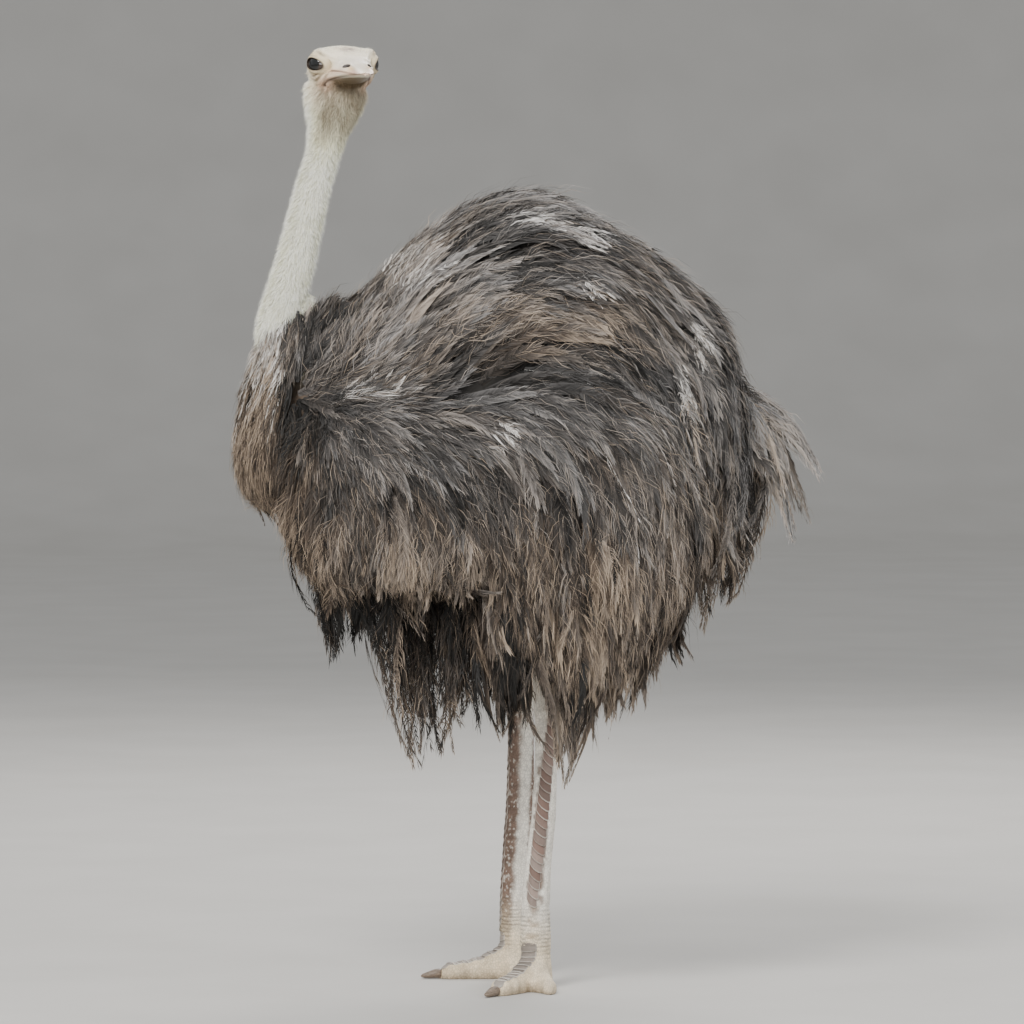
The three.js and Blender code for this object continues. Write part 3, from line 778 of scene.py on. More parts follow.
def bill_layers(folded, fine, blush, horn):
    """The paint of the bill: pink lips and gape, painted shade over its lower half, and stains along its
    side.
    """
    below, front = under_mouth(folded), smooth(20, 36, folded[:, 0])
    lips, gape = line_distance(folded, BILL_EDGE)[0], line_distance(folded, GAPE_LINE)[0]
    ridge = smooth(38, 54, folded[:, 0]) * smooth(-6, 4, folded[:, 2] + 0.16 * folded[:, 0] - 4)
    return [
        (0.80 * bump(lips, 5) * smooth(24, 40, folded[:, 0]), blush),
        (0.75 * bump(gape, 8), blush),
        # painted shade over the lower half of the bill, under the mouth line
        (0.92 * smooth(0.5, 2.5, below) * front, horn),
        (0.90 * smooth(3.5, 9, below) * front, DEEP_BILL_SHADE),
        (0.45 * ridge * (0.7 + 0.6 * fine), BILL_RIDGE),
        (0.60 * smooth(98, 114, folded[:, 0]) * (0.8 + 0.4 * fine), BILL_TIP),
        (0.70 * spot(folded, (80, 20, -8), (1.0, 1.0, 0.8), 8), BILL_AMBER),
        (0.55 * spot(folded, (90, 18, -14), (1.4, 1.0, 0.7), 7), BILL_RED),
    ]


def line_layers(folded):
    """The dark lines: painted shade in the creases, along the lips, in the mouth, nostrils and ears and
    inside the rims of the lids, and the dark edge of the lids.
    """
    layers = []
    for line, width, _, darkness in CREASES:
        distance, along = line_distance(folded, line)
        layers.append((darkness * along_fade(along, 0.08) * bump(distance, 1.1 * width), FOLD_SHADOW))
    along, height, out = eye_frame(folded)
    rim = lid_shape(along, height)
    lips, mouth = line_distance(folded, BILL_EDGE)[0], line_distance(folded, MOUTH_LINE)[0]
    return layers + [
        (0.85 * bump(lips, 1.9) * smooth(20, 36, folded[:, 0]), LIP_SHADOW),
        # painted shade in the mouth line, the nostrils, the ears and inside the lids
        (0.92 * bump(mouth, 2.3), DARK * 1.8),
        (1.2 * smooth(1.2, 0.9, nostril_distance(folded)), DARK),
        (0.9 * bump(ear_distance(folded), 3.8), DARK * 2),
        (((rim < 1.03) & (out > 0)) * 1.0, DARK),
        (0.95 * bump(rim - 1.05, 0.09) * (out > 0), LASH_LINE),
    ]


def face_colour(points, settings):
    """The colours of the head, bill and throat at each point."""
    folded = mirrored(to_head(points))
    mottle = lumps(points, 0.012, 5)
    fine = lumps(points, 0.004, 18)
    colour = np.tile(np.array(settings.face), (len(points), 1)) * (1 + 0.06 * fine[:, None])
    to_neck = smooth(-45, -95, folded[:, 2])[:, None]
    colour = blend(to_neck, colour, np.array(settings.neck)) * (1 + 0.05 * mottle[:, None])
    colour = layered(colour, face_layers(points, folded, fine, mottle))
    colour = layered(colour, bill_layers(folded, fine, settings.blush, settings.horn))
    return np.clip(layered(colour, line_layers(folded)), 0.005, 1)


BREAST_BROWN = np.array([0.115, 0.085, 0.062])
THIGH_GREY = np.array([0.20, 0.14, 0.11])
FLOOR_DUST = np.array([0.27, 0.205, 0.14])
FOLD_SPACING = 0.0074  # from one fold of an ankle to the next


def neck_colour(points, settings):
    """Creamy down to the foot of the neck, then the brown of the breast."""
    ragged = points[:, 2] + 0.020 * lumps(points, 0.02, 8) + 0.014 * lumps(points, 0.007, 9)
    brown = 1 - smooth(NECK_FOOT - 0.06, NECK_FOOT + 0.04, ragged)
    shade = 1 + 0.05 * lumps(points, 0.03, 6)[:, None]
    # Painted shadow: a darker line down the neck, a little to its left of the middle, fading out higher up
    crease = bump(points[:, 1] + 0.018 + 0.01 * lumps(points, 0.1, 7), 0.006)
    crease = crease * smooth(1.62, 1.5, points[:, 2])
    shade = shade * (1 - 0.16 * crease[:, None])
    return blend(brown[:, None] ** 1.3, np.array(settings.neck) * shade, BREAST_BROWN)


def ankle_folds(points):
    """The close level folds of an ankle, 1 on their crests and -1 between, wandering and fading out."""
    wander = 2.6 * lumps(points, 0.035, 4) + 1.2 * lumps(points, 0.012, 22)
    folds = np.sin(points[:, 2] / FOLD_SPACING * 2 * math.pi + wander)
    folds = folds * np.clip(0.55 + 0.75 * lumps(points, 0.022, 23), 0.05, 1)
    return folds * smooth(0.045, 0.07, points[:, 2]) * (1 - smooth(0.13, 0.17, points[:, 2]))


def chalk_band(points, side):
    """How chalky a shank is at each point: in a band on its inner side and over most of its outer side."""
    leg, sign = LEGS[side], SIDES[side]
    share = np.clip(points[:, 2] / leg.knee.z, 0, 1)
    angle = math.atan2(leg.forward.y, leg.forward.x) + leg.twist * share
    away = points - blend(share[:, None], np.array(leg.ankle), np.array(leg.knee))
    ahead = unit(np.stack([away[:, 0], away[:, 1]], axis=1))
    facing = ahead[:, 0] * np.cos(angle) + ahead[:, 1] * np.sin(angle)
    outer = smooth(-0.2, 0.3, ahead[:, 1] * sign)
    ragged = facing + 0.09 * lumps(points, 0.010, 13) + 0.10 * streaks(points, 0.02, 14, 0.3)
    inner_band = smooth(-0.35, -0.05, ragged) * smooth(0.70, 0.42, ragged)
    inner_band = np.maximum(inner_band, 0.7 * smooth(0.30, 0.55, lumps(points, 0.0035, 24)))
    outer_band = smooth(1.04, 0.90, ragged)
    return blend(outer, inner_band, outer_band) * (0.86 + 0.2 * lumps(points, 0.006, 20))


def leg_colour(points, settings):
    """Brown skin with chalky bands, broad on the outer side of each shank, and dusty beige feet."""
    shank, chalk, toe = np.array(settings.shank), np.array(settings.chalk), np.array(settings.toe)
    colour = np.tile(shank, (len(points), 1)) * (1 + 0.25 * lumps(points, 0.008, 19)[:, None])
    for side, sign in SIDES.items():
        ours = points[:, 1:2] * sign > 0
        band = np.clip(chalk_band(points, side), 0, 1)[:, None]
        colour = np.where(ours, blend(band, colour, chalk), colour)
    mottle = lumps(points, 0.02, 12)[:, None]
    colour = colour * (1 + 0.08 * mottle)
    dust = toe * (1 + 0.16 * mottle + 0.14 * lumps(points, 0.007, 25)[:, None])
    dusty = 1 - smooth(0.06, 0.17, points[:, 2])
    colour = blend(0.85 * dusty[:, None], colour, dust)
    # Painted shade between the crests of the ankle folds
    colour = colour * (1 - 0.50 * smooth(0.1, -0.9, ankle_folds(points))[:, None])
    grime = 1 - smooth(0.0, 0.025, points[:, 2] + 0.008 * lumps(points, 0.015, 17))
    colour = blend(0.5 * grime[:, None], colour, FLOOR_DUST)
    bare = smooth(0.50, 0.64, points[:, 2])
    return blend(0.5 * bare[:, None], colour, THIGH_GREY)


def skin_colour(points, settings, shadow):
    """The skin's colour at each point, whatever part of the bird it is on."""
    x, z = points[:, 0], points[:, 2]
    # Painted shade: the body's skin deep in the plumage takes the feathers' shadow colour
    body = np.array(shadow) * 3.6 * (1 + 0.5 * warmth(points)[:, None])
    inside = (np.abs(x) < 0.20) & (np.abs(points[:, 1]) < 0.21)
    legs = (1 - smooth(0.66, 0.72, z)) * inside
    neck = smooth(-0.36, -0.40, x - 0.27 * (z - 1.2)) * smooth(1.0, 1.05, z)
    neck = np.maximum(neck, smooth(1.44, 1.48, z))
    head = smooth(THROAT_HEIGHT - 0.04, THROAT_HEIGHT, z)
    colour = blend(neck[:, None], body, neck_colour(points, settings))
    colour = blend(head[:, None], colour, face_colour(points, settings))
    return blend(legs[:, None], colour, leg_colour(points, settings))


# ---- Skin ----

HEM = 0.66  # below this height the wings are loose feathers only
CLOSING = 0.032  # half the width of the hollows between wings, neck and trunk that feathers fill
THIN_COAT = {"leg_left_thigh": 0.007, "leg_right_thigh": 0.007, "neck_lower": 0.016}  # how deep the skin lies
BODY_VOXEL, SKIN_VOXEL, FORM_VOXEL = 0.012, 0.011, 0.010
HEAD_VOXEL, LEG_VOXEL, CLAW_VOXEL = 0.0052, 0.0055, 0.0024
SOLE_HEIGHT = 0.0004
KNUCKLE_SPACING = 0.024
BILL_GAP = 0.0012  # how deep the bare face and the bill lie inside the CAD head


def filled(obj):
    """Fills the narrow hollows of a shape: swells it, makes it one surface and shrinks it back. Then it evens
    out the step where the neck leaves the breast."""
    remeshed(obj, BODY_VOXEL, rounds=3)
    set_points(obj.data, points_of(obj.data) + normals_of(obj.data) * CLOSING)
    remeshed(obj, BODY_VOXEL, rounds=5)
    points = points_of(obj.data) - normals_of(obj.data) * CLOSING
    even = np.stack([relaxed(obj.data, column, 60) for column in points.T], axis=1)
    at_step = bump(points[:, 2] - NECK_FOOT, 0.15) * (points[:, 0] < -0.36)
    set_points(obj.data, blend(at_step[:, None], points, even))
    return obj


def cut_at_hem(obj):
    """Takes away the loose feathers that hang below the hem."""
    shape = bmesh.new()
    shape.from_mesh(obj.data)
    cut_away(shape, (0, 0, HEM), -UP, drop_outer=True)
    return put_back(shape, obj)


def body_skin(depth):
    """The trunk, wings, breast and thighs, sunk under their feathers."""
    thighs = [f"leg_{side}_thigh" for side in SIDES]
    nodes = FLESH + thighs
    body = with_nodes(filled(cut_at_hem(node_copy(FLESH, "body_form"))), thighs)
    remeshed(body, BODY_VOXEL, rounds=4)
    mesh = body.data
    labels = nearest_node(points_of(mesh), nodes)
    depths = np.array([THIN_COAT.get(node, depth) for node in nodes])
    sink = relaxed(mesh, depths[labels], 12)
    set_points(mesh, points_of(mesh) - normals_of(mesh) * sink[:, None])
    return remeshed(body, SKIN_VOXEL, rounds=3)


def nearest_node(points, nodes):
    """For each point, which of the CAD nodes is nearest, by its place in the list."""
    shape, owner = bmesh.new(), []
    for k, node in enumerate(nodes):
        shape.from_mesh(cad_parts[node].data)
        owner += [k] * (len(shape.faces) - len(owner))
    tree = BVHTree.FromBMesh(shape)
    shape.free()
    return np.array(owner)[nearest_on(tree, points)[2]]


def head_skin(depth):
    """The head and neck, carved at full detail. The bill is still part of it."""
    head = node_copy(HEAD_NODES + ["eye_left", "eye_right"], "head_form")
    remeshed(head, HEAD_VOXEL, rounds=5, levels=2)
    mesh = head.data
    points = points_of(mesh)
    sink = blend(smooth(THROAT_HEIGHT + 0.03, THROAT_HEIGHT - 0.05, points[:, 2]), BILL_GAP, depth)
    points = points - normals_of(mesh) * sink[:, None]
    stump = node_points("neck_lower")
    axis = stump[stump[:, 2] < stump[:, 2].min() + 0.04].mean(axis=0)
    drawn_in = 0.42 * smooth(NECK_FOOT + 0.09, NECK_FOOT - 0.03, points[:, 2])
    drawn_in = drawn_in * (points[:, 2] < THROAT_HEIGHT)
    points[:, :2] = blend(drawn_in[:, None], points[:, :2], axis[:2])
    set_points(mesh, points)
    places = carve_face(to_head(points_of(mesh)), normals_of(mesh) @ HEAD_AXES.T)
    set_points(mesh, from_head(carve_eyes(places)))
    return head


def leg_skin(side):
    """A leg down to its toes, with flat soles on the floor."""
    leg = node_copy([part.format(side) for part in LEG_PARTS], f"leg_form_{side}")
    remeshed(leg, LEG_VOXEL, rounds=4, levels=1)
    mesh, line = leg.data, LEGS[side]
    points, normals = points_of(mesh), normals_of(mesh)
    scales = 0.0003 * lumps(points, 0.006, 21) * (points[:, 2] < 0.56)
    points += normals * scales[:, None]
    ahead = (points - np.array(line.ankle)) @ np.array(line.forward)
    points += normals * (0.0009 * ankle_folds(points))[:, None]
    knuckles = np.sin(ahead / KNUCKLE_SPACING * 2 * math.pi)
    on_toe = smooth(0.03, 0.05, ahead) * (points[:, 2] < 0.07)
    points += normals * (0.0010 * knuckles * on_toe)[:, None]
    sole = (normals[:, 2] < -0.6) & (points[:, 2] < 0.008)
    points[:, 2] = np.where(sole, SOLE_HEIGHT, np.maximum(points[:, 2], SOLE_HEIGHT))
    set_points(mesh, points)
    return leg


def unite(base, *others):
    """Joins other closed shapes to the base, as one skin."""
    for other in others:
        modified(base, "BOOLEAN", operation="UNION", solver="MANIFOLD", object=other)
        old = other.data
        bpy.data.objects.remove(other)
        bpy.data.meshes.remove(old)


def cut_at_bill(head, name, keep_bill):
    """Cuts a copy of the head straight across at the root of the bill, closes the cut and keeps one side."""
    shape = bmesh.new()
    shape.from_mesh(head.data)
    root = Vector(from_head(np.array([[BILL_BASE, 0.0, 0.0]]))[0])
    cut_away(shape, root, HEAD_FORWARD, drop_outer=not keep_bill)
    bmesh.ops.triangulate(shape, faces=[face for face in shape.faces if len(face.verts) > 4])
    return mesh_from(shape, name)


def skin_paint():
    paint = Paint("skin", Specular_IOR_Level=0.35)
    place = paint.place()
    pigment = paint.attribute("pigment", "Color")
    legs = 1 - paint.parts(place)[2].step(0.50, 0.60)
    net = paint.cells(paint.stretched(place, 1.0, 1.0, 0.75), 230.0).step(0.02, 0.20)
    fine = paint.noise(place, 900.0, 3.0)
    broad = paint.noise(place, 60.0, 4.0)
    shade = 0.80 + 0.28 * broad + 0.14 * fine - legs * (1 - net) * 0.24
    wrinkles = paint.noise(paint.stretched(place, 1.0, 1.0, 5.0), 130.0, 3.0)
    height = legs * net * 0.55 + wrinkles * 0.5 + fine * 0.25
    return paint.finish(paint.scaled(pigment, shade), 0.55 + 0.2 * broad, height, 0.0012, 0.7)


def bill_paint():
    paint = Paint("bill", Specular_IOR_Level=0.5)
    place = paint.place()
    pigment = paint.attribute("pigment", "Color")
    grain = paint.noise(paint.stretched(place, 1.0, 0.35, 2.4), 220.0, 4.0)
    fine = paint.noise(place, 900.0, 2.0)
    shade = 0.82 + 0.24 * grain + 0.1 * fine
    height = grain * 0.7 + fine * 0.3
    return paint.finish(paint.scaled(pigment, shade), 0.34 + 0.24 * grain, height, 0.0006, 0.6)


# ---- Eyes, claws and scutes ----

RINGS_SPREAD = math.radians(75)  # from the middle of the pupil to the last of the eye's rings of colour
CORNEA_SPREAD, CORNEA_RISE = math.radians(38), 0.045
PUPIL, IRIS_DARK, IRIS = (0.003, 0.003, 0.003), (0.030, 0.017, 0.010), (0.045, 0.028, 0.018)
IRIS_RIM, EYE_WHITE = (0.010, 0.008, 0.007), (0.10, 0.085, 0.075)
EYE_RINGS = [(0.0, PUPIL), (0.34, PUPIL), (0.40, IRIS_DARK), (0.62, IRIS), (0.72, IRIS_RIM), (1.0, EYE_WHITE)]


def eye_paint():
    paint = Paint("eye", Roughness=0.10, Coat_Weight=0.6, Coat_Roughness=0.03, Specular_IOR_Level=0.4)
    ring = paint.attribute("ring")
    flecks = paint.noise(paint.place(), 500.0, 3.0)
    return paint.finish(paint.ramp(ring + 0.04 * (flecks - 0.5), EYE_RINGS))


def make_eye(side, material):
    """A glossy eyeball with a slightly raised cornea."""
    shape = bmesh.new()
    bmesh.ops.create_uvsphere(shape, u_segments=48, v_segments=36, radius=EYE_RADIUS - 0.0002)
    gaze = math.cos(EYE_FACING) * HEAD_FORWARD - SIDES[side] * math.sin(EYE_FACING) * HEAD_LEFT
    shape.transform(UP.rotation_difference(gaze).to_matrix().to_4x4())
    rings = []
    for vertex in shape.verts:
        angle = vertex.co.angle(gaze)
        rings.append(min(angle / RINGS_SPREAD, 1.0))
        vertex.co *= 1 + CORNEA_RISE * max(0.0, 1 - (angle / CORNEA_SPREAD) ** 2)
    shape.transform(Matrix.Translation(EYES[side]))
    mesh = mesh_from(shape, f"eyeball_{side}")
    set_values(mesh, "ring", "FLOAT", np.array(rings))
    return finished(add_object(f"eyeball_{side}", mesh), material, "eye", f"eye_{side}")


def claw_paint(settings):
    paint = Paint("claw", Specular_IOR_Level=0.45)
    grain = paint.noise(paint.stretched(paint.place(), 1.0, 1.0, 4.0), 160.0, 4.0)
    pale = [min(1.0, 2.6 * part) for part in settings.claw]
    colour = paint.ramp(grain, [(0.3, settings.claw), (0.75, pale)])
    return paint.finish(colour, 0.35 + 0.3 * grain, grain, 0.0006, 0.7)


def make_claw(side, material):
    node = f"foot_{side}_claw"
    claw = remeshed(node_copy([node], f"claw_{side}"), CLAW_VOXEL, rounds=3, levels=1)
    return finished(claw, material, "claw", node)


def scute_paint():
    paint = Paint("scute", Specular_IOR_Level=0.4)
    place = paint.place()
    pigment = paint.attribute("pigment", "Color")
    fine = paint.noise(place, 500.0, 4.0)
    broad = paint.noise(place, 70.0, 2.0)
    shade = 0.72 + 0.3 * fine + 0.26 * broad
    return paint.finish(paint.scaled(pigment, shade), 0.42 + 0.25 * fine, fine, 0.0008, 0.6)


SCUTE_STEP = 0.0150  # from one scute of a shank to the next
SCUTES_BELOW_KNEE = 0.10
SCUTES_END = {"left": 0.165, "right": 0.100}  # heights; below its scutes the left shank has bare folds
SCUTE_THICKNESS = 0.0009
SCUTE_SLANT = {"left": -1.05, "right": 1.05}
TOE_SCUTES = 15
SCUTE_GREY = np.array([0.235, 0.20, 0.17])  # the scutes of the ankle and toes


def shank_scutes(leg, low):
    """The scutes down the front of a shank. Each has a place inside the leg, the way out, the way to its free
    edge, half its width as an angle round the shank, its length and its greyness."""
    places = []
    top = leg.knee.z - SCUTES_BELOW_KNEE
    count = int((top - low) / SCUTE_STEP)
    for k in range(count):
        share = k / (count - 1)
        turned = Matrix.Rotation(leg.twist * (1 - share), 3, "Z") @ leg.forward
        large = math.sin(math.pi * min(1.0, 0.14 + 0.78 * share)) ** 0.7
        height = top - share * (top - low)
        centre = leg.ankle.lerp(leg.knee, height / leg.knee.z)
        centre.z = height
        width = math.radians(12 + 9 * large)
        places.append((centre, turned, -UP, width, SCUTE_STEP * 1.12, smooth(0.17, 0.12, height)))
    return places


def toe_scutes(leg):
    """The scutes over a big toe, as for a shank, but with half the width as a length."""
    places = []
    for k in range(TOE_SCUTES):
        share = k / (TOE_SCUTES - 1)
        turn = math.radians(28 + 60 * smooth(0.0, 0.45, share))
        out = leg.forward * math.cos(turn) + UP * math.sin(turn)
        edge = leg.forward * math.sin(turn) - UP * math.cos(turn)
        centre = leg.ankle + leg.forward * (0.022 + 0.128 * share) + UP * (0.062 * (1 - share) ** 1.5 + 0.012)
        places.append((centre, out, edge, 0.0165 - 0.0070 * share, 0.0125, 1.0))
    return places


def lay_scute(plate, layer, tree, place, on_toe, skew, flaking, base, chalk):
    """Bends a flat plate onto the leg and colours it, paler at its free edge. False if part of it misses."""
    centre, out, edge, width, length, _ = place
    across = edge.cross(out).normalized()
    for vertex in plate:
        u, v = vertex.co.x * 2, vertex.co.y * 2
        rounding = 0.42 * length * abs(u) ** 2.6 * smooth(-0.4, 0.6, v)
        along = v * length * 0.62 - rounding + 0.5 * skew * length * u
        turned = out if on_toe else out * math.cos(u * width) + across * math.sin(u * width)
        aside = across * (u * width) if on_toe else Vector()
        start = centre + edge * along + aside
        spot, normal, _, _ = tree.ray_cast(start + turned * 0.06, -turned, 0.085)
        if spot is None or normal.dot(turned) < 0.05:
            return False
        lift = 0.0002 + 0.0019 * smooth(-1.0, 1.0, v) * (1 - 0.8 * abs(u) ** 3)
        vertex.co = spot + normal * lift
        rim = max(smooth(0.72, 1.0, v), 0.7 * smooth(0.88, 1.0, abs(u)))
        # Painted shade: each scute is darker towards its root, under the scute that overlaps it
        vertex[layer] = (*blend(flaking * rim, base * (1 - 0.25 * smooth(-0.2, -1.0, v)), chalk), 1.0)
    return True


def make_scutes(side, tree, material, settings):
    """The overlapping scutes down the front of a shank and over its big toe, each a curved plate."""
    leg = LEGS[side]
    shank, toe = shank_scutes(leg, SCUTES_END[side]), toe_scutes(leg)
    shape = bmesh.new()
    layer = shape.verts.layers.float_color.new("pigment")
    random = np.random.default_rng(11 if side == "left" else 12)
    scute, chalk = np.array(settings.scute), np.array(settings.chalk)
    for k, place in enumerate(shank + toe):
        on_toe = k >= len(shank)
        plate = bmesh.ops.create_grid(shape, x_segments=11, y_segments=7, size=0.5)["verts"]
        brown, grey = scute * random.uniform(0.75, 1.25), SCUTE_GREY * random.uniform(0.7, 1.3)
        base = blend(random.uniform(0.0, 0.25) ** 1.5, blend(place[-1], brown, grey), chalk)
        skew = random.uniform(-0.15, 0.15) + (0 if on_toe else SCUTE_SLANT[side])
        flaking = random.uniform(0.25, 0.80)
        if not lay_scute(plate, layer, tree, place, on_toe, skew, flaking, base, chalk):
            bmesh.ops.delete(shape, geom=plate, context="VERTS")
    faces = shape.faces[:]
    bmesh.ops.recalc_face_normals(shape, faces=faces)
    bmesh.ops.solidify(shape, geom=faces, thickness=SCUTE_THICKNESS)
    name = f"scutes_{side}"
    return finished(add_object(name, mesh_from(shape, name)), material, "scaled_skin")


# ---- The lie of the plumage ----

ARC_CENTRE = (-0.007, 1.008)  # x and z of the middle of the sweep of feathers over the back
WING_REACH = [-0.50, -0.42, -0.30, -0.12, 0.05, 0.16, 0.26]  # places along X
WING_TOP_FALL = [100, 66, 34, 24, 26, 48, 70]  # degrees below level at those places, at the top of the wing
WING_LOW_FALL = [100, 95, 90, 86, 82, 84, 84]  # and low down on it
WING_TOP = ([-0.12, 0.0, 0.25], [1.10, 1.18, 1.16])  # places along X and how high the wing's top is there
SHOULDER = (-0.405, 1.09)  # x and z
RIGHT_WING_SHIFT = np.array([0.076, 0.0, 0.040])  # the right wing lies further back and higher
TAIL_ROOT = np.array([0.345, 0.0, 1.065])
HANG_AXIS = np.array([0.02, 0.0, 0.0])  # the hanging plumes bow out from this upright axis
THIGH_FEATHERS = 0.55  # the thighs are bare below this height
LOOSE = 0.76  # below this height the drapes end in loose plumes
BACK_MIDDLE = -0.04  # where along X the two pieces of the back meet
LIE_SEED = 31


def slope(degrees):
    """A direction that falls by an angle while it runs to the rear."""
    angle = np.radians(degrees)
    return np.stack([np.cos(angle), np.zeros_like(angle), -np.sin(angle)], axis=-1)


def back_lie(points):
    """Over the back: up the shoulders, back along the top and down the rump, and hanging lower down."""
    away_x, away_z = points[:, 0] - ARC_CENTRE[0], points[:, 2] - ARC_CENTRE[1]
    arc = unit(np.stack([away_z, 0.25 * np.sign(points[:, 1]) * np.abs(away_z), -away_x], axis=-1))
    hanging = unit(np.array([0.30, 0.0, -0.95]))
    upper = smooth(-0.06, 0.10, away_z + 0.35 * np.maximum(away_x, 0))[:, None]
    return blend(upper, np.broadcast_to(hanging, arc.shape), arc)


def wing_lie(points):
    """Over a wing: out along its top from the wrist, and steeper further down."""
    x, z = points[:, 0], points[:, 2]
    lower = smooth(0.0, 0.26, np.interp(x, *WING_TOP) - z)
    top_fall, low_fall = (np.interp(x, WING_REACH, fall) for fall in (WING_TOP_FALL, WING_LOW_FALL))
    return slope(blend(lower**0.8, top_fall, low_fall))


def as_left(points):
    """Places over the right wing moved to where they would be on the left one, which lies further forward."""
    return points - np.where(points[:, 1:2] > 0, RIGHT_WING_SHIFT, 0.0)


def body_lie(points):
    """The lie over the whole body: the sweep of the back turns into the fall of the wings."""
    moved = as_left(points)
    x, z = moved[:, 0], moved[:, 2]
    edge = 1.10 + 0.06 * smooth(-0.1, 0.05, x)
    band = 0.045 + 0.055 * smooth(-0.26, -0.38, x)
    on_wing = 1 - smooth(-1.0, 1.0, (z - edge) / band)
    return unit(blend(on_wing[:, None], back_lie(points), wing_lie(moved)))


def at_shoulder(points):
    """1 at the shoulder, where the feathers of the back and of the wing spring apart, and 0 away from it."""
    moved = as_left(points)
    return bump(np.hypot(moved[:, 0] - SHOULDER[0], moved[:, 2] - SHOULDER[1]), 0.11)


def breast_lie(points):
    return np.broadcast_to(unit(np.array([-0.16, 0.0, -1.0])), points.shape)


def flattened(directions, normals):
    """Directions laid down on a surface."""
    return unit(directions - normals * dot(directions, normals))


def turned_about(normals, directions, angles):
    """Directions on a surface turned by angles about its normals."""
    return directions * np.cos(angles)[:, None] + np.cross(normals, directions) * np.sin(angles)[:, None]


def lie(points, normals, rule, turn):
    """The way feathers lie at each point: the region's rule, swirled a little and kept on the surface."""
    swirl = turn * lumps(points, 0.12, LIE_SEED) + 0.6 * turn * lumps(points, 0.05, LIE_SEED + 1)
    return turned_about(normals, flattened(rule(points), normals), swirl)


# ---- Feathers ----

SHAFT_STEPS = 5
SHAFT_SHARES = np.linspace(0, 1, SHAFT_STEPS + 1)
CLUMP = 4  # barbs that gather into one frayed point
LOCK_REACH = 0.085  # how far a tip may move when tips gather into locks
NEIGHBOURS = [(a, b, c) for a in (-1, 0, 1) for b in (-1, 0, 1) for c in (-1, 0, 1)]


def plumage_form():
    """The smooth outer form of all the plumage, with the CAD node that each of its triangles belongs to."""
    nodes = FLESH + PLUME_NODES
    form = with_nodes(filled(node_copy(FLESH, "plumage_form")), PLUME_NODES)
    remeshed(form, FORM_VOXEL, rounds=2)
    triangles = triangles_of(form.data)
    labels = nearest_node(triangles.centres, nodes)
    tree = tree_of(form)
    bpy.data.objects.remove(form)
    return SimpleNamespace(nodes=nodes, tree=tree, labels=labels, **vars(triangles))


def scatter(random, places, normals, weights, count):
    """Random points on triangles, with their normals, spread by the triangles' weights."""
    picked = random.choice(len(weights), count, p=weights / weights.sum())
    u, v = random.random((2, count, 1))
    over = u + v > 1
    u, v = np.where(over, 1 - u, u), np.where(over, 1 - v, v)
    parts = np.concatenate([1 - u - v, u, v], axis=1)[:, :, None]
    return (places[picked] * parts).sum(axis=1), unit((normals[picked] * parts).sum(axis=1))


def spread(random, places, normals, weights, count):
    """As scatter, but evenly spaced: more points are tried, and those too near another come last."""
    points, ups = scatter(random, places, normals, weights, count * 3)
    gap = math.sqrt(weights.sum() / count) * 0.80
    cells, kept, spare = {}, [], []
    for k, point in enumerate(points):
        key = tuple(np.floor(point / gap).astype(int))
        near = (cells.get((key[0] + a, key[1] + b, key[2] + c), ()) for a, b, c in NEIGHBOURS)
        if any(((points[other] - point) ** 2).sum() < gap * gap for group in near for other in group):
            spare.append(k)
            continue
        cells.setdefault(key, []).append(k)
        kept.append(k)
    kept = (kept + spare)[:count]
    return points[kept], ups[kept]


def lay_shafts(form, roots, normals, rule, kind, lengths, random):
    """Runs each shaft over the form from its root. Past an edge of the form it hangs free and soon ends."""
    step = (lengths / SHAFT_STEPS)[:, None]
    point, normal = roots, normals
    veer = random.normal(0, kind.veer, len(roots))
    heading = unit(turned_about(normal, lie(point, normal, rule, kind.turn), veer))
    path, ups = [point], [normal]
    loose = np.zeros(len(roots), bool)
    reach = np.full(len(roots), float(SHAFT_STEPS))
    for k in range(SHAFT_STEPS):
        ahead = point + heading * step
        spot, spot_normal, _, gap = nearest_on(form.tree, ahead)
        leaves = ~loose & ((gap > 0.5 * step[:, 0]) | (dot(spot_normal, normal)[:, 0] < 0.15))
        reach = np.where(leaves, k + kind.overhang * random.uniform(0.1, 1.3, len(roots)) / step[:, 0], reach)
        loose |= leaves
        free = loose[:, None]
        point = np.where(free, ahead, spot)
        normal = np.where(free, normal, unit(normal + spot_normal))
        turned = unit(0.6 * heading + 0.4 * lie(point, normal, rule, kind.turn))
        falling = unit(heading + (0, 0, -0.30))
        heading = np.where(free, falling, flattened(turned, normal))
        path.append(point)
        ups.append(normal)
    reach = np.clip(reach, 1.2, SHAFT_STEPS) / SHAFT_STEPS
    return shortened(np.stack(path, axis=1), reach), shortened(np.stack(ups, axis=1), reach), reach


def surface_tips(names, count, random):
    """Random points on CAD nodes: only on the feathered top of a thigh and the loose foot of a drape."""
    corners = []
    for name in names:
        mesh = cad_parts[name].data
        places = points_of(mesh)[np.array([polygon.vertices[:] for polygon in mesh.polygons])]
        if "thigh" in name:
            places = places[places[:, :, 2].min(axis=1) > THIGH_FEATHERS]
        if "drape" in name:
            places = places[places[:, :, 2].max(axis=1) < LOOSE]
        corners.append(places)
    corners = np.concatenate(corners)
    return scatter(random, corners, np.ones_like(corners), areas_of(corners), count)[0]


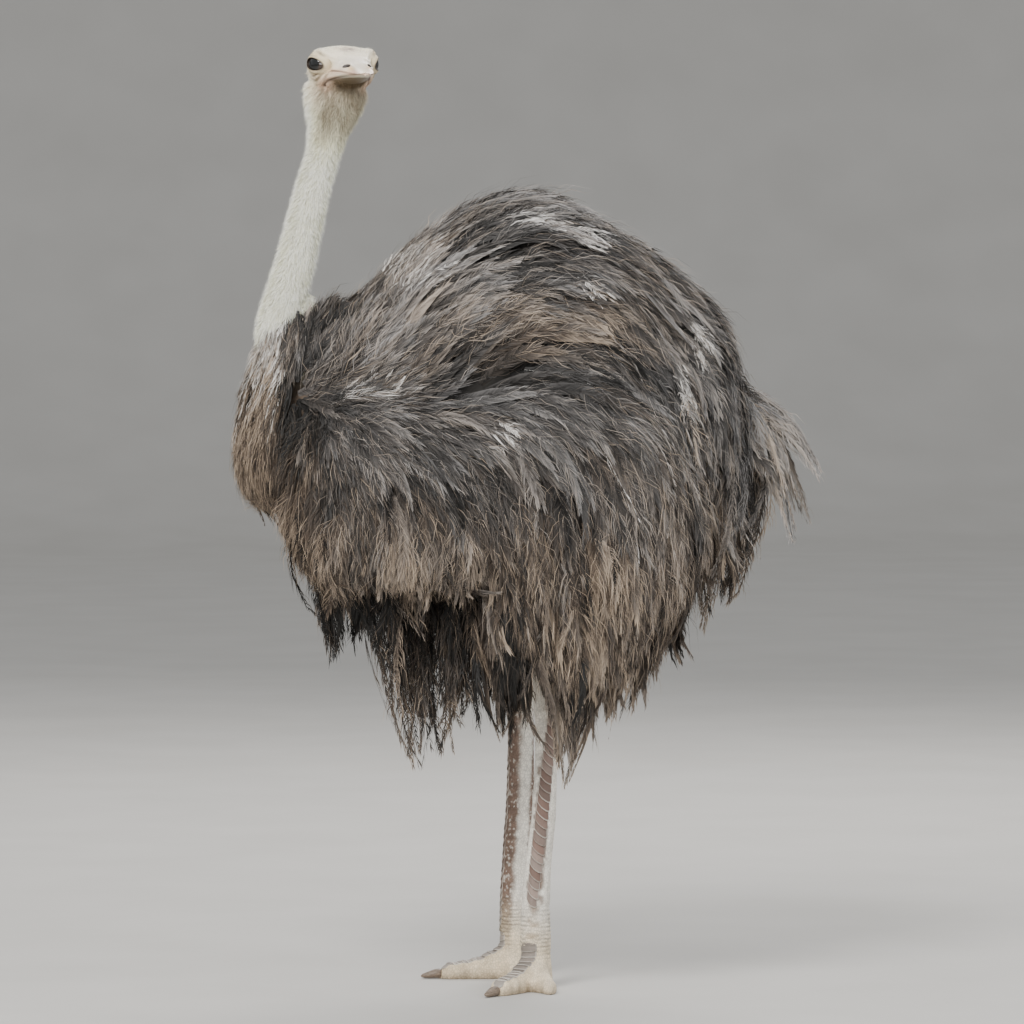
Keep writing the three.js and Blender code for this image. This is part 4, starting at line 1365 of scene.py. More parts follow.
def gathered(tips, count, pull, random):
    """Tips drawn together into locks: each moves towards the lowest tip of its lock."""
    middles = tips[random.choice(len(tips), count, replace=False)]
    lock = np.linalg.norm((tips[:, None] - middles) * (1, 1, 0.30), axis=2).argmin(axis=1)
    high_first = np.argsort(-tips[:, 2])
    lowest = np.zeros((count, 3))
    lowest[lock[high_first]] = tips[high_first]
    move = (lowest[lock] - tips) * pull * random.uniform(0.55, 1.15, (len(tips), 1))
    return tips + unit(move) * np.minimum(np.linalg.norm(move, axis=1, keepdims=True), LOCK_REACH)


def fan_shafts(names, root, kind, count, random):
    """Shafts that spring from one root and arch over to tips on CAD nodes, for the plumes of the tail."""
    points = surface_tips(names, 6 * count, random)
    points = points[np.linalg.norm(points - root, axis=1) > kind.length[0]]
    one, other = points[random.integers(len(points), size=(2, count))]
    tips = blend(random.random((count, 1)) * (random.random((count, 1)) < 0.4), one, other)
    tips = gathered(tips, kind.locks, kind.pull, random)
    start = root + random.normal(0, 1, (count, 3)) * (0.012, 0.022, 0.016)
    run = tips - start
    rise = random.uniform(0.22, 0.58, (count, 1)) * np.linalg.norm(run, axis=1, keepdims=True)
    control = start + 0.48 * run + rise * (0.22, 0, 1) + random.normal(0, 0.012, (count, 3))
    return arched(start, control, tips, random)


def tucked(form, points, depth):
    """Points, with those outside the form moved to a little way under its surface."""
    spot, normal, _, _ = nearest_on(form.tree, points)
    return np.where(dot(points - spot, normal) > -depth, spot - normal * depth, points)


def hanging_shafts(form, names, kind, lengths, random):
    """Shafts that hang, a little bowed, to tips on CAD nodes. So a bundle of them thins out to a point."""
    count = len(lengths)
    tips = gathered(surface_tips(names, count, random), kind.locks, kind.pull, random)
    inward = np.stack([random.normal(0.0, 0.14, count), -0.22 * np.sign(tips[:, 1]), np.ones(count)], axis=1)
    start = tucked(form, tips + unit(inward) * lengths[:, None], 0.010)
    bow = random.normal(0, kind.curl, (count, 3)) * lengths[:, None]
    control = blend(0.45, tips, start) + bow + (tips - HANG_AXIS) * (0.04, 0.10, 0)
    return arched(start, control, tips, random)


def arched(start, control, tips, random):
    """Curves from starts to tips, pulled towards controls, with the way that each one's vane faces."""
    t = SHAFT_SHARES[None, :, None]
    path = start[:, None] * (1 - t) ** 2 + control[:, None] * 2 * t * (1 - t) + tips[:, None] * t * t
    turn = random.uniform(-1.0, 1.0, (len(start), 1, 1)) + math.pi / 2 * np.sign(tips[:, 1])[:, None, None]
    outward = np.concatenate([np.cos(turn), np.sin(turn), 0.5 + 0 * turn], axis=2)
    along = unit(np.gradient(path, axis=1))
    return path, flattened(outward, along), np.ones(len(start))


def shortened(rows, share):
    """Rows of values along each shaft, read again over only the first share of its length."""
    return along_rows(rows, SHAFT_SHARES * share[:, None] * SHAFT_STEPS)


def along_rows(rows, at):
    """Values between rows: at counts rows from the start, for each shaft."""
    low = np.clip(np.floor(at).astype(int), 0, rows.shape[1] - 2)
    part = (at - low)[:, :, None]
    index = np.arange(len(rows))[:, None]
    return rows[index, low] * (1 - part) + rows[index, low + 1] * part


def lift_shafts(path, ups, kind, lengths, random):
    """Sinks each shaft's root into the coat, lifts its tip and bends it sideways a little."""
    t = SHAFT_SHARES[None, :, None]
    count = len(path)
    sunk = random.uniform(0.08, 1.0, (count, 1, 1)) * kind.depth
    sunk = sunk * (1 - 0.85 * at_shoulder(path[:, 0]))[:, None, None]
    tip = random.uniform(-0.006, kind.lift, (count, 1, 1))
    tip = tip + kind.relief * lumps(path[:, -1], 0.05, 51)[:, None, None]
    run = unit(np.gradient(path, axis=1))
    across = np.cross(ups, run)
    bend = random.normal(0, kind.curl, (count, 1, 1)) * lengths[:, None, None]
    return path + ups * (tip * t**1.3 - sunk * (1 - t) ** 1.6) + across * bend * t * t


def vane_axes(run, ups, tilt):
    """The way across each feather and the way up from it, rolled about its shaft by a tilt."""
    up = flattened(ups, run)
    across = unit(np.cross(up, run))
    return across * np.cos(tilt) + up * np.sin(tilt), up * np.cos(tilt) - across * np.sin(tilt)


def grow_barbs(path, ups, kind, reach, random, width):
    """The barbs of each feather: bent strips that leave its shaft on both sides and gather in clumps."""
    count, each = len(path), kind.barbs
    one_each, one = (count, each, 1), (count, 1, 1)
    clumps = each // CLUMP
    clump, member = np.divmod(np.arange(each), CLUMP)
    hand = np.where(clump % 2, 1.0, -1.0)[None, :, None]
    share = (clump // 2 * CLUMP + member + random.uniform(0.1, 0.9, (count, each))) / (each / 2)
    share = 0.03 + 0.96 * share
    at = share * SHAFT_STEPS
    start = along_rows(path, at)
    ahead = along_rows(path, np.minimum(at + 0.3, SHAFT_STEPS))
    run = unit(ahead - along_rows(path, np.maximum(at - 0.3, 0)))
    tilt = random.normal(0, kind.roll, one)
    across, up = vane_axes(run, unit(along_rows(ups, at)), tilt)
    own = random.normal(0, 1, (count, clumps, 4))[:, clump]
    wisp = (random.random((count, each)) < kind.wisps)[:, :, None]
    share = share[:, :, None]
    reach = np.clip(reach, 0.5, 1)[:, None, None]
    splay = kind.splay * (1 - 0.70 * share) * (1 + 0.26 * own[:, :, 1:2])
    angle = np.radians(splay * random.uniform(0.72, 1.28, one_each)) * np.where(wisp, 1.2, 1.0)
    profile = (0.66 + 0.34 * np.sin(math.pi * np.minimum(1, share * 1.2))) * (1 - 0.40 * share**3)
    size = kind.barb * profile * (1 + 0.16 * own[:, :, 0:1]) * random.uniform(0.75, 1.12, one_each)
    size = size * reach * np.where(wisp, 1.6, 1.0)
    stray = kind.stray * own[:, :, 2:3] + random.normal(0, 0.05, one_each) + 0.26 * wisp
    first = run * np.cos(angle) + across * hand * np.sin(angle) + up * stray
    inner = 0.30 * angle
    second = run * np.cos(inner) + across * hand * np.sin(inner) + up * (0.3 * stray - kind.dome)
    sag = np.array([0, 0, -kind.sag])
    bend = start + size * 0.5 * first + sag * size * 0.25
    end = bend + size * 0.5 * second + sag * size * 0.75
    drawn = end.reshape(count, clumps, CLUMP, 3)
    drawn = (drawn + (drawn.mean(axis=2, keepdims=True) - drawn) * kind.gather).reshape(end.shape)
    end = np.where(wisp, end, drawn)
    heading = unit(end - start)
    roll = 0.35 * own[:, :, 3:4] + random.normal(0, 0.25, one_each)
    flat = unit(np.cross(up, heading))
    flat = unit(flat * np.cos(roll) + up * np.sin(roll))
    half = width / 2 * random.uniform(0.7, 1.25, one_each) * np.where(wisp, 0.42, 1.0)
    corners = [start - flat * half, start + flat * half, bend - flat * half, bend + flat * half, end]
    vanes = grow_vanes(path, ups, kind, reach, tilt)
    share, hand, wisp = share[:, :, 0], hand[0, :, 0], wisp[:, :, 0]
    points = np.stack(corners, axis=2)
    return SimpleNamespace(points=points, share=share, hand=hand, own=own, wisp=wisp, vanes=vanes)


def grow_vanes(path, ups, kind, reach, tilt):
    """The soft web of each feather under its barbs: a blade three points across and pointed at its tip."""
    t = SHAFT_SHARES[None, :, None]
    across, up = vane_axes(unit(np.gradient(path, axis=1)), ups, tilt)
    half = kind.vane * kind.barb * reach * (0.5 + 0.5 * np.sin(math.pi * t)) * (1 - t**4)
    spine = path - up * 0.0014
    return np.stack([spine - (across + 0.3 * up) * half, spine, spine + (across - 0.3 * up) * half], axis=2)


def build_mesh(name, points, quads, triangles, uv):
    """A mesh from arrays, with a map for its colours to be baked on."""
    mesh = bpy.data.meshes.new(name)
    corners = np.concatenate([quads.ravel(), triangles.ravel()]).astype(np.int32)
    starts = np.concatenate([4 * np.arange(len(quads)), quads.size + 3 * np.arange(len(triangles))])
    mesh.vertices.add(len(points))
    mesh.vertices.foreach_set("co", points.astype(np.float32).ravel())
    mesh.loops.add(len(corners))
    mesh.loops.foreach_set("vertex_index", corners)
    mesh.polygons.add(len(starts))
    mesh.polygons.foreach_set("loop_start", starts.astype(np.int32))
    mesh.update(calc_edges=True)
    layer = mesh.uv_layers.new(name="OFBake")
    layer.uv.foreach_set("vector", uv[corners].astype(np.float32).ravel())
    return mesh


def unwrapped(points, start, end):
    """Places on an unwrap of a round body: how far round its long axis, and how far along it."""
    axis = unit(np.array(end, float) - start)
    side = unit(np.cross(axis, (0.31, 0.2, 0.93)))
    away = points - start
    along = (away @ axis) / np.linalg.norm(np.array(end, float) - start)
    turn = np.arctan2(away @ np.cross(axis, side), away @ side) / (2 * math.pi) + 0.5
    return np.stack([0.02 + 0.96 * turn, 0.02 + 0.96 * np.clip(along, 0, 1)], axis=1)


ROOM = np.array(CAD_BOX) * 1.05 + [[-0.008], [0.008]]  # the corners of the room that loose barbs keep to
PATCH = 0.003  # how far across each tuft's place on its map is
PATCH_OUT = np.array([0.05, 0.1, 0.26, 0.30, 0.46])  # how far out in the patch a barb's corners are
PATCH_ALONG = 0.72 * SHAFT_SHARES - 0.5  # and how far along it the steps of a shaft are


def feather_map(path, barbs, bed):
    """Where the corners of the barbs, shafts and webs are in each feather's small patch of the map."""
    root = unwrapped(path[:, 0], *bed)
    barb_u = barbs.hand[None, :, None] * PATCH_OUT + 0 * barbs.share[:, :, None]
    barb_v = 0.72 * barbs.share[:, :, None] + 0.26 * np.array([0, 0, 0.5, 0.5, 1.0]) - 0.5
    parts = [root[:, None, None, :] + PATCH * np.stack([barb_u, barb_v], axis=-1)]
    for columns in ([-0.03, 0.03], [-0.2, 0.0, 0.2]):
        u = np.tile(columns, SHAFT_STEPS + 1)
        v = np.repeat(PATCH_ALONG, len(columns))
        parts.append(root[:, None, :] + PATCH * np.stack([u, v], axis=-1))
    return [part.reshape(-1, 2) for part in parts]


def ladder_faces(first, count, columns):
    """The four-sided faces of `count` strips, each with a row of `columns` points at every step."""
    starts = first + columns * (SHAFT_STEPS + 1) * np.arange(count)[:, None, None]
    cells = starts + columns * np.arange(SHAFT_STEPS)[:, None] + np.arange(columns - 1)
    return (cells[..., None] + (0, 1, columns + 1, columns)).reshape(-1, 4)


def feather_mesh(name, path, barbs, tones, kind, bed):
    """One mesh from the barbs, shafts and webs of many feathers."""
    run = unit(np.gradient(path, axis=1))
    across = unit(np.cross(run, unit(np.cross((0.3, 1.0, 0.2), run))))
    half = kind.shaft / 2 * (1 - 0.85 * SHAFT_SHARES)[None, :, None]
    shafts = np.stack([path - across * half, path + across * half], axis=2)
    parts = [barbs.points, shafts] + ([barbs.vanes] if kind.vane else [])
    parts = [part.reshape(-1, 3) for part in parts]
    strips = 5 * np.arange(len(parts[0]) // 5)[:, None]
    quads = [strips + (0, 1, 3, 2), ladder_faces(len(parts[0]), len(path), 2)]
    if kind.vane:
        quads.append(ladder_faces(len(parts[0]) + len(parts[1]), len(path), 3))
    uv = np.concatenate(feather_map(path, barbs, bed)[: len(parts)])
    points = np.clip(np.concatenate(parts), *ROOM)
    mesh = build_mesh(name, points, np.concatenate(quads), strips + (2, 3, 4), uv)
    lay = [tones.barbs, tones.shafts, tones.vanes][: len(parts)]
    set_values(mesh, "lay", "FLOAT_VECTOR", np.concatenate([part.reshape(-1, 3) for part in lay]))
    return mesh


NAPE_X = -0.465  # feathers of the breast that are rooted behind this place belong to the nape


def neck_share(points):
    """0 on the body and 1 where the pale neck begins."""
    return smooth(NECK_FOOT - 0.07, NECK_FOOT + 0.06, points[:, 2]) * (points[:, 0] < -0.36)


def own_tones(path, kind, random):
    """The tone, warmth and whiteness of each feather as a whole."""
    count = len(path)
    roots, tips, seen = path[:, 0], path[:, -1], path[:, 4 if kind.locks else 3]
    in_locks, on_breast = kind.locks > 0, kind is BREAST
    tone = kind.tone + kind.vary * random.normal(0, 1, count) + shading(seen)
    tone = tone - 0.02 + 0.12 * lumps(roots, 0.045, 41) + 0.09 * lumps(roots, 0.14, 43)
    tone = tone + 0.26 * streaks(tips, 0.055, 45) * in_locks
    tone = tone + 0.20 * streaks(roots, 0.05, 47, 0.3) * smooth(1.02, 0.80, roots[:, 2]) * (not on_breast)
    fall = smooth(0.86, 0.74, seen[:, 2]) * smooth(-0.24, -0.16, seen[:, 0])
    tone = tone - 0.34 * fall * smooth(0.15, 0.75, streaks(seen, 0.042, 49, 0.22))
    # Painted sheen: one feather in ten is made paler, as a highlight
    tone = tone + random.uniform(0.08, 0.30, count) * (random.random(count) < 0.10)
    warm = warmth(seen) + kind.warm + 0.16 * random.normal(0, 1, count)
    nape = on_breast * (roots[:, 0] > NAPE_X) * smooth(1.04, 1.12, roots[:, 2])
    tone, warm = tone - 0.10 * nape, warm - 0.75 * nape
    warm = warm + 0.35 * streaks(tips, 0.045, 46) * in_locks
    is_white = random.random(count) < kind.white + on_breast * (roots[:, 0] < NAPE_X) * neck_share(roots)
    return tone[:, None], warm[:, None], np.where(is_white, random.uniform(0.25, 1.0, count), 0)[:, None]


def feather_tones(path, barbs, kind, random):
    """Tone, warmth and whiteness at each corner of each barb, shaft and web."""
    count, each = barbs.share.shape
    tone, warm, pale = own_tones(path, kind, random)
    strand = 0.045 * barbs.own[:, :, 3] + 0.030 * random.normal(0, 1, (count, each))
    strand = strand + np.where(barbs.wisp, random.uniform(0.05, 0.50, (count, each)), 0)
    # kind.tip paints each feather darker towards its root, as painted shade deep in the coat, and paler
    # towards its pale end; below 0, as on the tail, it darkens the ends instead
    strand_tone = tone + strand + kind.tip * (barbs.share - 0.55)
    # kind.rise paints each barb darker where it leaves the shaft, as painted shade, and paler at its free end
    rise = kind.rise * np.array([-1.0, -1.0, -0.1, -0.1, 1.0])
    barb_tone = strand_tone[:, :, None] + rise
    barb_warm = (warm + 0.8 * strand)[:, :, None] + 0 * rise
    patch = whiteness(barbs.points[:, :, 2].reshape(-1, 3)).reshape(count, each)
    in_patch = (random.random((count, each)) < 0.55 * patch) * random.uniform(0.2, 0.9, (count, each))
    strand_white = np.maximum((random.random((count, each)) < 0.75) * pale, in_patch)
    barb_white = strand_white[:, :, None] * (0.55 + 0.45 * np.array([0, 0, 1, 1, 1.0]))
    t = np.repeat(SHAFT_SHARES, 2)[None, :]
    quill = (random.random(count) < kind.quills)[:, None] * (0.85 - 0.7 * t)
    shafts = [tone + 0.04 + 0 * t, warm + 0 * t, np.maximum(quill, 0.7 * pale)]
    t = np.repeat(SHAFT_SHARES, 3)[None, :]
    # the webs carry the same painted shade towards their roots
    web = tone + kind.tip * (t - 0.50) - 0.04 + np.tile([0.05, -0.05, 0.05], SHAFT_STEPS + 1)
    vanes = [web, warm + 0 * t, 0.5 * pale + 0 * t]
    lay = [np.stack(part, axis=-1) for part in ([barb_tone, barb_warm, barb_white], shafts, vanes)]
    return SimpleNamespace(barbs=lay[0], shafts=lay[1], vanes=lay[2])


def feather_kind(**changes):
    """The make-up of a kind of feather. Lengths are in metres and the splay of the barbs in degrees."""
    size = {"length": (0.12, 0.20), "shaft": 0.0014, "vane": 0.28, "barb": 0.042, "barbs": 56, "splay": 40}
    place = {"depth": 0.036, "lift": 0.005, "relief": 0.009, "overhang": 0.055, "turn": 0.36, "veer": 0.22}
    bend = {"curl": 0.08, "stray": 0.13, "sag": 0.04, "dome": 0.16, "roll": 0.28}
    ends = {"gather": 0.52, "wisps": 0.14, "locks": 0, "pull": 0.0}
    tone = {"tone": 0.38, "vary": 0.12, "tip": 0.40, "rise": 0.13, "warm": 0.0, "white": 0.0, "quills": 0.06}
    return SimpleNamespace(**{**size, **place, **bend, **ends, **tone, **changes})


BODY = feather_kind()
WING = feather_kind(
    length=(0.10, 0.17), barb=0.038, depth=0.028, turn=0.40, veer=0.26, sag=0.10, warm=0.02,
)
DRAPE = feather_kind(
    length=(0.12, 0.21), depth=0.030, veer=0.24, sag=0.14, tip=0.30, warm=0.04,
)
HANGING = feather_kind(
    length=(0.20, 0.36), shaft=0.0018, vane=0.05, barb=0.032, barbs=72, splay=54, curl=0.15, stray=0.16,
    sag=0.26, dome=0.0, gather=0.14, locks=30, pull=0.5, tip=0.22, rise=0.20,
)
LOOSE_PLUME = feather_kind(
    length=(0.15, 0.32), vane=0.18, barb=0.032, barbs=64, splay=38, curl=0.13, stray=0.14, sag=0.24,
    dome=0.0, gather=0.45, locks=20, pull=0.80, tone=0.44, tip=0.26, rise=0.17, warm=0.06, quills=0.10,
)
STRAND = feather_kind(
    length=(0.16, 0.30), shaft=0.0020, vane=0, barb=0.022, barbs=24, splay=14, depth=0.020, lift=0.022,
    overhang=0.09, veer=0.30, curl=0.14, wisps=0.2, tone=0.80, white=0.3, quills=1.0,
)
TAIL_PLUME = feather_kind(
    length=(0.10, 0.2), shaft=0.0034, vane=0.14, barb=0.034, splay=48, curl=0.05, stray=0.12, sag=0.26,
    dome=0.0, gather=0.14, wisps=0.10, locks=16, pull=0.45, tone=0.62, tip=-0.10, rise=0.16, warm=-0.02,
    quills=0.95,
)
BREAST = feather_kind(
    length=(0.08, 0.16), shaft=0.0012, vane=0.22, barb=0.026, barbs=32, splay=18, depth=0.014, relief=0.005,
    turn=0.16, veer=0.16, sag=0.10, wisps=0.20, tone=0.37, tip=0.34, rise=0.16, warm=0.38,
)
WHITE_TUFT = feather_kind(
    length=(0.030, 0.065), shaft=0.0010, vane=0, barb=0.016, barbs=24, splay=34, depth=0.003, lift=0.004,
    overhang=0.01, veer=0.4, stray=0.08, gather=0.15, tone=0.8, tip=0.1, white=1.0,
)

# Long axes that the maps of the pieces are unwrapped round.
BODY_BED = ((-0.50, 0, 1.06), (0.42, 0, 1.08))
TAIL_BED = ((0.3, 0, 1.05), (0.56, 0, 0.85))
RUMP_BED = ((0.36, 0, 0.6), (0.36, 0, 1.0))
BREAST_BED = ((-0.49, 0, 0.86), (-0.44, 0, 1.26))
NECK_BED = ((-0.47, 0, 1.0), (-0.36, 0, 1.75))


def side_bed(side):
    """The long axis of a wing with its drape."""
    wing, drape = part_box(f"wing_{side}"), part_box(f"wing_{side}_drape")
    start, end = (wing[0] + wing[1]) / 2, (drape[0] + drape[1]) / 2
    start.x, end.x = wing[0].x, drape[1].x
    start.z = end.z = (drape[0].z + drape[1].z) / 2 + 0.06
    return tuple(start), tuple(end)


def plumage_pieces():
    """Every piece of the plumage: name, slot, CAD nodes it grows on, how it is laid, kind, number and bed."""
    pieces = []
    for side in SIDES:
        bed = side_bed(side)
        wing, drape = f"wing_{side}", f"wing_{side}_drape"
        plumes = [f"wing_{side}_plumes", f"leg_{side}_thigh"]
        pieces += [
            (f"back_front_{side}", "plumage", ["trunk"], body_lie, BODY, 440, BODY_BED),
            (f"back_rear_{side}", "plumage", ["trunk"], body_lie, BODY, 470, BODY_BED),
            (f"wing_feathers_{side}", "plumage", [wing], body_lie, WING, 640, bed),
            (f"drape_feathers_{side}", "plumage", [drape], body_lie, DRAPE, 440, bed),
            (f"drape_plumes_{side}", "plumage", [drape], None, LOOSE_PLUME, 250, bed),
            (f"under_plumes_{side}", "dark_plumes", plumes, None, HANGING, 290, bed),
            (f"strands_{side}", "plumage", ["trunk", drape], body_lie, STRAND, 30, BODY_BED),
            (f"white_down_{side}", "plumage", FLESH, body_lie, WHITE_TUFT, 130, BODY_BED),
        ]
    return pieces + [
        ("tail_plumes", "plumage", ["tail"], None, TAIL_PLUME, 90, TAIL_BED),
        ("rump_feathers", "dark_plumes", ["rump_plumes"], None, HANGING, 240, RUMP_BED),
        ("breast_feathers", "breast_down", ["breast", "neck_lower"], breast_lie, BREAST, 1350, BREAST_BED),
    ]


def root_share(name, points, facing):
    """How thickly a piece's feathers grow at each place: not at all where another piece takes over, few on
    hidden undersides and most at the shoulder."""
    shoulder = at_shoulder(points)
    share = np.where(facing[:, 2] < -0.45, 0.35, 1.0) + 1.5 * shoulder + 6.0 * shoulder**8
    for side, sign in SIDES.items():
        if name.endswith(side):
            share = share * (points[:, 1] * sign > 0)
    if "_front_" in name:
        share = share * (points[:, 0] < BACK_MIDDLE)
    if "_rear_" in name:
        share = share * (points[:, 0] >= BACK_MIDDLE)
    if name.startswith("breast"):
        share = share * smooth(NECK_FOOT + 0.11, NECK_FOOT + 0.01, points[:, 2])
    if name.startswith("drape"):
        share = share * smooth(0.62, 0.86, points[:, 2])
    if name.startswith("strands"):
        share = share * smooth(-0.10, 0.10, points[:, 0]) * bump(points[:, 2] - 0.98, 0.20)
    if name.startswith("white"):
        share = share * whiteness(points)
    return share


def make_plumage(form, piece, material, settings, seed):
    """Grows one piece of the plumage on its part of the form."""
    name, slot, nodes, rule, kind, count, bed = piece
    random = np.random.default_rng(seed)
    count = max(20, int(count * settings.fullness))
    stood_for = [node for node in nodes if node in PLUME_NODES]
    lengths = random.uniform(*kind.length, count)
    if name.startswith("tail"):
        path, ups, reach = fan_shafts(nodes, TAIL_ROOT, kind, count, random)
    elif rule is None:
        path, ups, reach = hanging_shafts(form, nodes, kind, lengths, random)
    else:
        ours = np.isin(form.labels, [form.nodes.index(node) for node in nodes])
        weights = form.areas[ours] * root_share(name, form.centres[ours], form.normals[ours].mean(axis=1))
        roots, normals = spread(random, form.places[ours], form.normals[ours], weights, count)
        lengths = lengths * (1 - 0.55 * neck_share(roots))
        path, ups, reach = lay_shafts(form, roots, normals, rule, kind, lengths, random)
        path = lift_shafts(path, ups, kind, lengths, random)
    barbs = grow_barbs(path, ups, kind, reach, random, settings.barb_width)
    mesh = feather_mesh(name, path, barbs, feather_tones(path, barbs, kind, random), kind, bed)
    return finished(add_object(name, mesh), material, slot, *stood_for)


def feather_paint(name, settings):
    paint = Paint(name, Specular_IOR_Level=0.32)
    place = paint.place()
    tone, warm, white = paint.parts(paint.attribute("lay", "Vector"))
    patches = paint.noise(place, 14.0, 3.0)
    flecks = paint.noise(place, 240.0, 2.0)
    tone = (tone + (patches - 0.5) * 0.22 + (flecks - 0.5) * 0.20).held()
    cool = paint.ramp(tone, [(0.0, settings.shadow), (0.38, settings.slate), (0.85, settings.ash)])
    brown = paint.ramp(tone, [(0.0, settings.shadow), (0.38, settings.umber), (0.85, settings.sand)])
    colour = paint.mix(warm.held(), cool, brown)
    colour = paint.mix(white.held(), colour, settings.quill)
    return paint.finish(colour, 0.50 + 0.25 * flecks)


# ---- Bristles of the head and neck ----

BRISTLES = 115000


def bristle_lie(points):
    """Down the neck, and back over the head from the bill."""
    down = np.array([-0.27, 0, -1.0])
    back = -np.array(HEAD_FORWARD) + np.array([0, 0, -0.35])
    on_head = smooth(-70, -30, to_head(points)[:, 2])[:, None]
    return unit(blend(on_head, down, back))


def bristle_roots(skin, random, count):
    """Places for bristles on the head and neck, thin on the bare face and none on the bill, lids or eyes."""
    triangles = triangles_of(skin.data)
    centres = triangles.centres
    local = mirrored(to_head(centres))
    along, height, out = eye_frame(local)
    clear_of_eye = np.where(out > -4, smooth(1.5, 2.1, lid_shape(along, height)), 1)
    mouth, _ = from_line(local, MOUTH_LINE)
    bare = smooth(40, 52, local[:, 0]) * (local[:, 2] > -60)
    density = (1 - bare) * clear_of_eye * smooth(4, 9, mouth)
    density = density * smooth(NECK_FOOT - 0.05, NECK_FOOT + 0.05, centres[:, 2])
    density = density * ((centres[:, 2] > 1.44) | (centres[:, 0] < -0.37 + 0.27 * (centres[:, 2] - 1.2)))
    return scatter(random, triangles.places, triangles.normals, triangles.areas * density, count)


def bristle_shapes(roots, normals, random):
    """The three corners of each bristle: short and flat on the face, longer and rising on the neck."""
    count = len(roots)
    local = mirrored(to_head(roots))
    on_face = smooth(-58, -24, local[:, 2]) * smooth(-52, -14, local[:, 0])
    low = smooth(NECK_FOOT + 0.10, NECK_FOOT - 0.02, roots[:, 2])
    crown = smooth(14, 30, local[:, 2])
    length = blend(on_face, 0.0160, 0.0034 + 0.0016 * crown) * random.uniform(0.5, 1.35, count)
    heading = flattened(bristle_lie(roots), normals)
    across = np.cross(normals, heading)
    rise = blend(on_face, random.uniform(0.2, 1.1, count), random.uniform(0.1, 0.4, count))
    rise = rise * (1 - 0.8 * low) + 0.2 * crown
    way = unit(heading + normals * rise[:, None] + across * random.normal(0, 0.22, count)[:, None])
    turn = random.normal(0, 0.8, count)[:, None]
    side = unit(across * np.cos(turn) + normals * np.sin(turn))
    half = blend(on_face, 0.00062, 0.00030)[:, None] * random.uniform(0.7, 1.3, (count, 1))
    start = roots - normals * 0.0005
    return np.stack([start - side * half, start + side * half, start + way * length[:, None]], axis=1)


def make_bristles(skin, material, settings, count):
    """The short dense bristles of the neck and head, paler at their tips."""
    random = np.random.default_rng(71)
    roots, normals = bristle_roots(skin, random, count)
    points = bristle_shapes(roots, normals, random)
    triangles = 3 * np.arange(count)[:, None] + (0, 1, 2)
    corners = np.array([[-0.4, -0.5], [0.4, -0.5], [0.0, 0.5]])
    uv = unwrapped(roots, *NECK_BED)[:, None, :] + corners * PATCH
    on_head = smooth(THROAT_HEIGHT - 0.10, THROAT_HEIGHT, roots[:, 2])[:, None]
    pigment = blend(on_head, neck_colour(roots, settings), face_colour(roots, settings))
    pigment = pigment * random.normal(1.02, 0.14, (count, 1))
    # Painted shade at each bristle's root and painted light at its tip
    shade = np.array([0.74, 0.74, 1.30])[:, None]
    colours = np.clip(pigment[:, None, :] * shade, 0, 1)
    quads = np.zeros((0, 4), int)
    mesh = build_mesh("neck_bristles", points.reshape(-1, 3), quads, triangles, uv.reshape(-1, 2))
    set_values(mesh, "pigment", "FLOAT_COLOR", colours.reshape(-1, 3))
    return finished(add_object("neck_bristles", mesh), material, "neck_down")


def bristle_paint():
    paint = Paint("bristles", Roughness=0.7, Specular_IOR_Level=0.25)
    fine = paint.noise(paint.place(), 400.0, 2.0)
    return paint.finish(paint.scaled(paint.attribute("pigment", "Color"), 0.86 + 0.28 * fine))


# ---- Stage ----

FLOOR_REACH = 40.0  # to the front and to both sides
WALL_AT, WALL_HEIGHT, WALL_CURVE, CURVE_STEPS = 18.0, 10.0, 4.0, 12
FLOOR_GREYS = [(0.3, (0.47, 0.455, 0.43)), (0.7, (0.50, 0.485, 0.46))]
MIDDLE = (0, 0, 1.0)
LIGHTS = [
    # name, place, what it is aimed at, size, power in watts, colour
    ("key", (-2.6, -4.2, 5.2), MIDDLE, 2.4, 480, (1.0, 0.98, 0.95)),
    ("low", (-2.4, -8.5, 2.4), (0, 0, 0.5), 3.0, 130, (1.0, 0.99, 0.97)),
    ("fill", (4.2, -3.6, 2.6), MIDDLE, 3.5, 110, (0.92, 0.96, 1.0)),
    ("rim", (1.6, 4.2, 4.4), MIDDLE, 2.6, 260, (1.0, 0.98, 0.96)),
]
SKY, SKY_STRENGTH = (0.86, 0.88, 0.90, 1.0), 0.75
CAMERA_TURN, CAMERA_DISTANCE, CAMERA_HEIGHT = math.radians(-9), 14.0, 1.6
CAMERA_AIM = Vector((-0.040, 0.0, 0.875))
LENS, SENSOR = 266.5, 36  # millimetres


def turn_to(obj, place, aim):
    """Sets an object down at a place, looking at another."""
    obj.location = place
    obj.rotation_euler = (Vector(aim) - Vector(place)).to_track_quat("-Z", "Y").to_euler()


